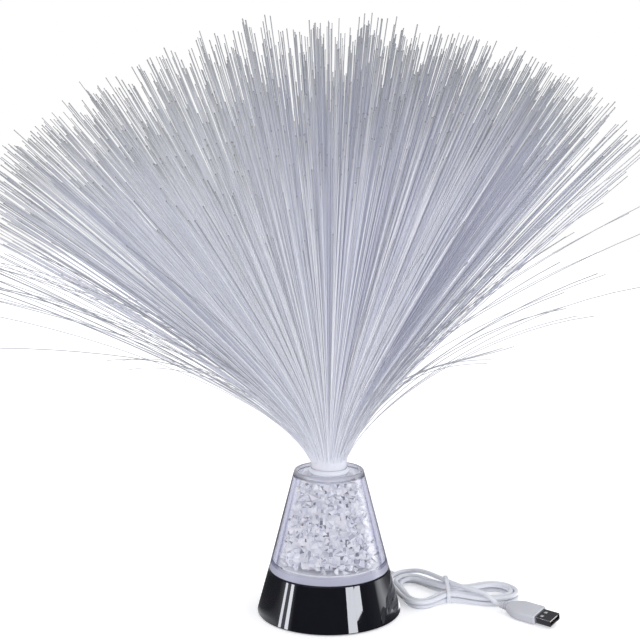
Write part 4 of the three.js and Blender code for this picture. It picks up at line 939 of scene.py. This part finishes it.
# The strays, as in the part's source: place round the turn, lean and droop in right angles, and share of length
STRAYS = [
    (0.0909, 0.59, 0.162, 1.02), (0.1364, 0.689, 0.178, 0.9), (0.1591, 0.6, 0.244, 0.8),
    (0.2045, 0.711, 0.156, 0.85), (0.2273, 0.667, 0.222, 0.96), (0.2955, 0.622, 0.2, 0.9),
    (0.3182, 0.733, 0.133, 0.93), (0.3636, 0.644, 0.267, 0.85), (0.3864, 0.849, 0.273, 0.81),
    (0.4091, 0.689, 0.222, 0.95), (0.4318, 0.588, 0.403, 0.74), (0.5682, 0.613, 0.26, 0.87),
    (0.5909, 0.667, 0.178, 0.97), (0.6136, 0.641, 0.232, 0.98), (0.6364, 0.611, 0.133, 0.9),
    (0.6818, 0.611, 0.111, 0.93), (0.7273, 0.589, 0.089, 0.88), (0.7727, 0.589, 0.1, 0.9),
    (0.7955, 0.578, 0.111, 0.95), (0.8182, 0.611, 0.078, 0.87), (0.8409, 0.578, 0.133, 0.9),
    (0.8636, 0.6, 0.178, 0.85), (0.8864, 0.557, 0.303, 0.71), (0.9091, 0.556, 0.26, 0.67),
    (0.9318, 0.578, 0.289, 0.8),
]
LATE_STRAYS = [
    (0.0227, 0.521, 0.127, 0.96), (0.0455, 0.678, 0.119, 1.02), (0.0682, 0.846, 0.219, 0.49),
    (0.1136, 1.017, -0.088, 0.68), (0.1818, 0.822, 0.089, 0.82), (0.2727, 0.889, 0.067, 0.74),
    (0.4545, 0.751, 0.137, 1.02), (0.4773, 0.684, 0.22, 0.96), (0.5227, 0.848, 0.182, 0.91),
    (0.5455, 0.778, 0.059, 1), (0.9545, 0.65, 0.12, 0.75), (0.9773, 0.569, 0.152, 0.98),
]


def early_bend(along):
    """The share of its lean that a strand has reached, some millimetres along."""
    return 1 - BEND_SHARE * math.exp(-along / 34)


def late_bend(along):
    """The same for a strand that bends over further up."""
    return 1 - BEND_SHARE * math.exp(-((along / 72) ** 2))


def strand_line(start, azimuth, lean, droop, length, drift, bend):
    """A strand leaves the neck nearly upright, bends over, then droops a little."""
    across = Vector((-math.sin(azimuth), math.cos(azimuth), 0))
    outward = Vector((math.cos(azimuth), math.sin(azimuth), 0))
    here = outward * start + Vector((0, 0, NECK_HEIGHT - 0.6))
    line = [here.copy()]
    step = length / FINE_STEPS
    marks = {round(FINE_STEPS * (i / STRAND_STEPS) ** 1.35) for i in range(1, STRAND_STEPS + 1)}
    for i in range(1, FINE_STEPS + 1):
        angle = math.radians(lean * bend((i - 0.5) * step) + droop * ((i - 0.5) / FINE_STEPS) ** 2)
        way = outward * math.sin(angle) + Vector((0, 0, math.cos(angle))) + across * drift * (i / FINE_STEPS)
        here = here + way * step
        if i in marks:
            line.append(here.copy())
    last = (line[-1] - line[-2]).normalized()
    return [*line[:-1], line[-1] - last, line[-1]]


def kept_inside(start, azimuth, lean, droop, reach, drift, bend=early_bend):
    """A strand's line, shortened as far as its tip needs to stay inside the model's box."""
    line = strand_line(start, azimuth, lean, droop, reach, drift, bend)
    while any(not low + BOX_MARGIN <= c * MM <= high - BOX_MARGIN for c, low, high in zip(line[-1], *cad_box)):
        reach *= 0.985
        line = strand_line(start, azimuth, lean, droop, reach, drift, bend)
    return line


def edge_lean(azimuth):
    """How far the loosest strands lean, further to the left than to the right."""
    return 55 - 9 * math.cos(azimuth)


def strands():
    """Every strand's line, tone and radius, quarter by quarter. The strands hang together in upright sheets."""
    chance = random.Random(11)
    made = [[], [], [], []]
    sheets = []
    for k in range(SHEET_COUNT):
        place = 2 * (k + 0.5 + chance.uniform(-0.45, 0.45)) / SHEET_COUNT - 1
        sheets.append((place, chance.uniform(*SHEET_REACH), chance.gauss(0, 0.1)))
    for _ in range(STRAND_COUNT):
        azimuth = chance.uniform(0, TAU)
        dense = chance.random() < DENSE_ODDS
        share = DENSE_REACH * math.sqrt(chance.random()) if dense else chance.uniform(0.8, 1)
        across, back = share * math.cos(azimuth), share * math.sin(azimuth)
        tilted = across + SHEET_WAVE * math.sin(6 * back + 4 * across)
        place, reach, shift = min(sheets, key=lambda sheet: abs(sheet[0] - tilted))
        across += (place - tilted) * chance.uniform(0.1, 0.9)
        edge = math.radians(edge_lean(azimuth)) * (1 + chance.gauss(0, 0.012))
        out = Vector((math.tan(edge * across), math.tan(edge * back)))
        aim, lean = math.atan2(out.y, out.x), math.degrees(math.atan(out.length))
        length = SPRAY_LENGTH * reach * (1 - LENGTH_SPREAD * chance.random() ** 2)
        patch = noise.noise(Vector((across * 3, back * 3, 0.3)))
        streak = noise.noise(Vector((across * 34, back * 5, 7.1)))
        tone = 0.44 + shift - 0.34 * across + 0.65 * patch + 0.35 * streak + chance.gauss(0, 0.1)
        radius = STRAND_RADIUS * chance.uniform(0.88, 1.06)
        # The brightest strands, in streaks and at random, are painted white as painted highlights
        if streak > BRIGHT_STREAK or chance.random() < BRIGHT_ODDS:
            tone, radius = 1, BRIGHT_RADIUS
        if share > LOOSE_SHARE and chance.random() < LOOSE_ODDS:
            tone = 0
        droop, drift = 5 * lean / 51 + chance.gauss(0, 0.8), chance.gauss(0, 0.01)
        line = kept_inside(NECK_RADIUS * share, aim, lean, droop, length, drift)
        made[int(azimuth % TAU / (TAU / 4))].append((line, tone and min(1, max(0.15, tone)), radius))
    for table, bend in ((STRAYS, early_bend), (LATE_STRAYS, late_bend)):
        for turn, lean, droop, length in table:
            line = kept_inside(NECK_RADIUS, TAU * turn, 90 * lean, 90 * droop, SPRAY_LENGTH * length, 0.0, bend)
            made[int(4 * turn)].append((line, chance.uniform(0.0, 0.1), STRAY_RADIUS))
            for _ in range(chance.choice((0, 1, 1, 2))):
                beside = TAU * turn + math.radians(chance.gauss(0, 1.5))
                lean_too, droop_too = 90 * lean + chance.gauss(0, 1.6), 90 * droop + chance.gauss(0, 1.5)
                reach = SPRAY_LENGTH * min(1, length * chance.uniform(0.8, 1.02))
                line = kept_inside(NECK_RADIUS, beside, lean_too, droop_too, reach, chance.gauss(0, 0.02), bend)
                made[int(4 * turn)].append((line, chance.uniform(0.0, 0.14), FINE_STRAY_RADIUS))
    return made


def fibre_mesh(name, lines):
    """Strands of square section. The ring 1 mm before a tip counts as nearly the tip, so only the end takes the
    painted grey of the tip.
    """
    vertices, faces, tones, alongs = [], [], [], []
    for line, tone, radius in lines:
        first = len(vertices)
        for i, place in enumerate(line):
            along = (i + (i == len(line) - 2) * 0.9) / (len(line) - 1)
            way = (line[min(i + 1, len(line) - 1)] - line[max(i - 1, 0)]).normalized()
            side = way.cross(Vector((0, 0, 1)))
            side = side.normalized() if side.length > 1e-4 else Vector((1, 0, 0))
            up = side.cross(way)
            for k in range(STRAND_SIDES):
                turn = TAU * (k + 0.5) / STRAND_SIDES
                vertices.append((place + (side * math.cos(turn) + up * math.sin(turn)) * radius) * MM)
                tones.append(tone)
                alongs.append(along)
        for i in range(len(line) - 1):
            for k in range(STRAND_SIDES):
                a, b = first + i * STRAND_SIDES + k, first + i * STRAND_SIDES + (k + 1) % STRAND_SIDES
                faces.append((a, b, b + STRAND_SIDES, a + STRAND_SIDES))
        faces.append(tuple(first + (len(line) - 1) * STRAND_SIDES + k for k in range(STRAND_SIDES)))
    mesh = bpy.data.meshes.new(name)
    mesh.from_pydata(vertices, [], faces)
    mesh.shade_smooth()
    for label, values in (("tone", tones), ("along", alongs)):
        mesh.attributes.new(label, "FLOAT", "POINT").data.foreach_set("value", values)
    return linked(name, mesh)


for quarter, lines in enumerate(strands()):
    fibres = fibre_mesh(f"fibre_spray_{quarter + 1}", lines)
    dressed(fibres, acrylic_fibre, "fibre_bundle", "optical_fibre", f"fibres_{quarter + 1}", clear=True)


def potted_root():
    """The resin that holds the bundle: straight in the ferrule, flared at the neck and domed on top."""
    corners = [
        (0, 83.5), (8.5, 83.5, 0.3), (8.6, 93.0, 1.0), (11.6, NECK_HEIGHT, 1.0), (12.2, 104.0, 3.0),
        (12.7, 108.5, 2.0), (10.5, 112.5, 3.0), (0, 117.5),
    ]
    return turned(rounded(corners), 64)


root = meshed("bundle_root", *potted_root())
dressed(root, potting_resin, "fibre_bundle", "optical_fibre")


# Finishes of the parts that keep the shape they have in the frame

for material, names in (
    (foot_rubber, ["foot_pad"]),
    (matt_abs, ["base_plate"]),
    (gloss_abs, ["switch_button"]),
    (chip_epoxy, ["controller_chip", "resistor", "switch_body"]),
    (plated_steel, [f"{kind}_screw_{i}" for kind in ("plate", "board") for i in (1, 2, 3)]),
    (cord_pvc, ["cord_gland", "inner_lead"]),
    (solder_mask, ["light_board"]),
    (led_epoxy, ["led_centre", "led_ring_1", "led_ring_2", "led_ring_3"]),
    (capacitor_sleeve, ["capacitor"]),
    (connector_nylon, ["cable_connector", "switch_plunger"]),
    (wire_red_pvc, ["wire_red"]),
    (wire_black_pvc, ["wire_black"]),
    (white_polypropylene, ["bundle_ferrule"]),
    (opal_polystyrene, ["light_tray"]),
    (tongue_polymer, ["plug_tongue"]),
    (contact_brass, [f"plug_contact_{i}" for i in range(1, 5)]),
):
    for name in names:
        nodes[name].data.materials.clear()
        nodes[name].data.materials.append(material)


# Studio: a pale sweep and an even sky, and round them the dim room that the gloss mirrors, with its windows

ROOM_LEVEL = 3.3
CEILING_LEVEL = 0.12
CEILING_RISE = (0.18, 0.3)
FLOOR_REACH = 4000
FLOOR_GLOW = 0.36
STRIP_DISTANCE = 0.45
STRIP_TINT = (0.9, 0.92, 1.0)


def room_light(tree, way, behind):
    """How bright the room is towards each side, seen from the lamp: 0 degrees is the camera's side."""
    split = shade(tree, "SeparateXYZ", {"Vector": way}).outputs
    toward = shade(tree, "Math", {0: split["Y"], 1: -1.0}, operation="MULTIPLY").outputs[0]
    angle = shade(tree, "Math", {0: split["X"], 1: toward}, operation="ARCTAN2").outputs[0]
    share = shade(tree, "MapRange", {"Value": angle, "From Min": -math.pi, "From Max": math.pi}).outputs["Result"]
    ramp = shade(tree, "ValToRGB", {"Fac": share})
    for degrees, level in (
        (-140, behind), (-118, 0.02), (-98, 0.04), (-90, 0.17), (-84, 0.35), (-68, 0.35), (-60, 0.02),
        (66, 0.02), (90, 0.06), (95, 0.7), (102, 1.0), (108, 0.55), (115, 0.17), (126, 0.05), (150, behind),
    ):
        made = ramp.color_ramp.elements.new((degrees + 180) / 360)
        made.color = (0.93 * level, 0.94 * level, level, 1)
    for end in (ramp.color_ramp.elements[0], ramp.color_ramp.elements[-1]):
        end.color = (behind, behind, behind, 1)
    return ramp.outputs["Color"]


def mirrored_ray(tree, path):
    """1 for a ray that a gloss surface mirrors, and 0 for one that came through a clear wall."""
    outside = shade(tree, "Math", {0: path["Transmission Depth"], 1: 0.5}, operation="LESS_THAN").outputs[0]
    return shade(tree, "Math", {0: path["Is Glossy Ray"], 1: outside}, operation="MULTIPLY").outputs[0]


floor_corners = [(FLOOR_REACH * x, FLOOR_REACH * y, 0) for x, y in ((-1, -1), (1, -1), (1, 1), (-1, 1))]
floor = meshed("studio_floor", floor_corners, [(0, 1, 2, 3)])
floor_paper, tree, shader = finish("studio_paper", "#f4f4f6", Roughness=0.9, Specular__IOR__Level=0.1)
path = shade(tree, "LightPath").outputs
seen = shade(tree, "Math", {0: path["Is Camera Ray"], 1: path["Is Transmission Ray"]}, operation="MAXIMUM")
glow = shade(tree, "MapRange", {"Value": seen.outputs[0], "To Max": FLOOR_GLOW}).outputs["Result"]
tree.links.new(glow, shader.inputs["Emission Strength"])
shader.inputs["Emission Color"].default_value = (1, 1, 1, 1)
mirrored = shade(
    tree,
    "Emission",
    {"Color": room_light(tree, shade(tree, "TexCoord").outputs["Object"], 0.02), "Strength": ROOM_LEVEL},
)
both = shade(tree, "MixShader", {0: mirrored_ray(tree, path), 1: shader.outputs[0], 2: mirrored.outputs[0]})
tree.links.new(both.outputs[0], tree.nodes["Material Output"].inputs["Surface"])
floor.data.materials.append(floor_paper)

world = bpy.data.worlds.new("studio")
bpy.context.scene.world = world
world.use_nodes = True
tree = world.node_tree
tree.nodes.clear()
way = shade(tree, "TexCoord").outputs["Generated"]
path = shade(tree, "LightPath").outputs
sky = shade(tree, "Background", {"Color": (1, 1, 1, 1), "Strength": 1.0})
room = shade(tree, "Background", {"Color": room_light(tree, way, 1 / ROOM_LEVEL), "Strength": ROOM_LEVEL})
upward = shade(tree, "SeparateXYZ", {"Vector": way}).outputs["Z"]
high = shade(tree, "MapRange", {"Value": upward, "From Min": CEILING_RISE[0], "From Max": CEILING_RISE[1]})
ceiling = shade(tree, "Background", {"Color": (1, 1, 1, 1), "Strength": CEILING_LEVEL})
dim = shade(tree, "MixShader", {0: high.outputs["Result"], 1: room.outputs[0], 2: ceiling.outputs[0]})
both = shade(tree, "MixShader", {0: mirrored_ray(tree, path), 1: sky.outputs[0], 2: dim.outputs[0]})
shade(tree, "OutputWorld", {"Surface": both.outputs[0]})


# The strips gleam in the gloss of the base; the clear cover takes no light from them and stays even
unlit = bpy.data.collections.new("not_lit_by_strips")
unlit.objects.link(cover)
unlit.collection_objects[0].light_linking.link_state = "EXCLUDE"


def strip(name, azimuths, heights, radiance):
    """An upright lamp between two azimuths, 0 on the camera's side, and between two heights in millimetres."""
    middle = math.radians(sum(azimuths) / 2)
    way = Vector((math.sin(middle), -math.cos(middle), 0))
    lamp = bpy.data.lights.new(name, "AREA")
    lamp.shape = "RECTANGLE"
    lamp.size = STRIP_DISTANCE * math.radians(azimuths[1] - azimuths[0])
    lamp.size_y = (heights[1] - heights[0]) * MM
    lamp.energy = radiance * math.pi * lamp.size * lamp.size_y
    lamp.color = STRIP_TINT
    made = bpy.data.objects.new(name, lamp)
    bpy.context.scene.collection.objects.link(made)
    made.location = way * STRIP_DISTANCE + Vector((0, 0, sum(heights) / 2 * MM))
    made.rotation_euler = way.to_track_quat("Z", "Y").to_euler()
    made.visible_camera = False
    made.light_linking.receiver_collection = unlit


strip("wide_strip", (29, 43), (38, 98), 15)
strip("wide_strip_top", (43, 55), (54, 86), 15)
strip("narrow_strip_near", (-69, -63), (18, 70), 15)
strip("narrow_strip_far", (-81, -76), (4, 54), 13)
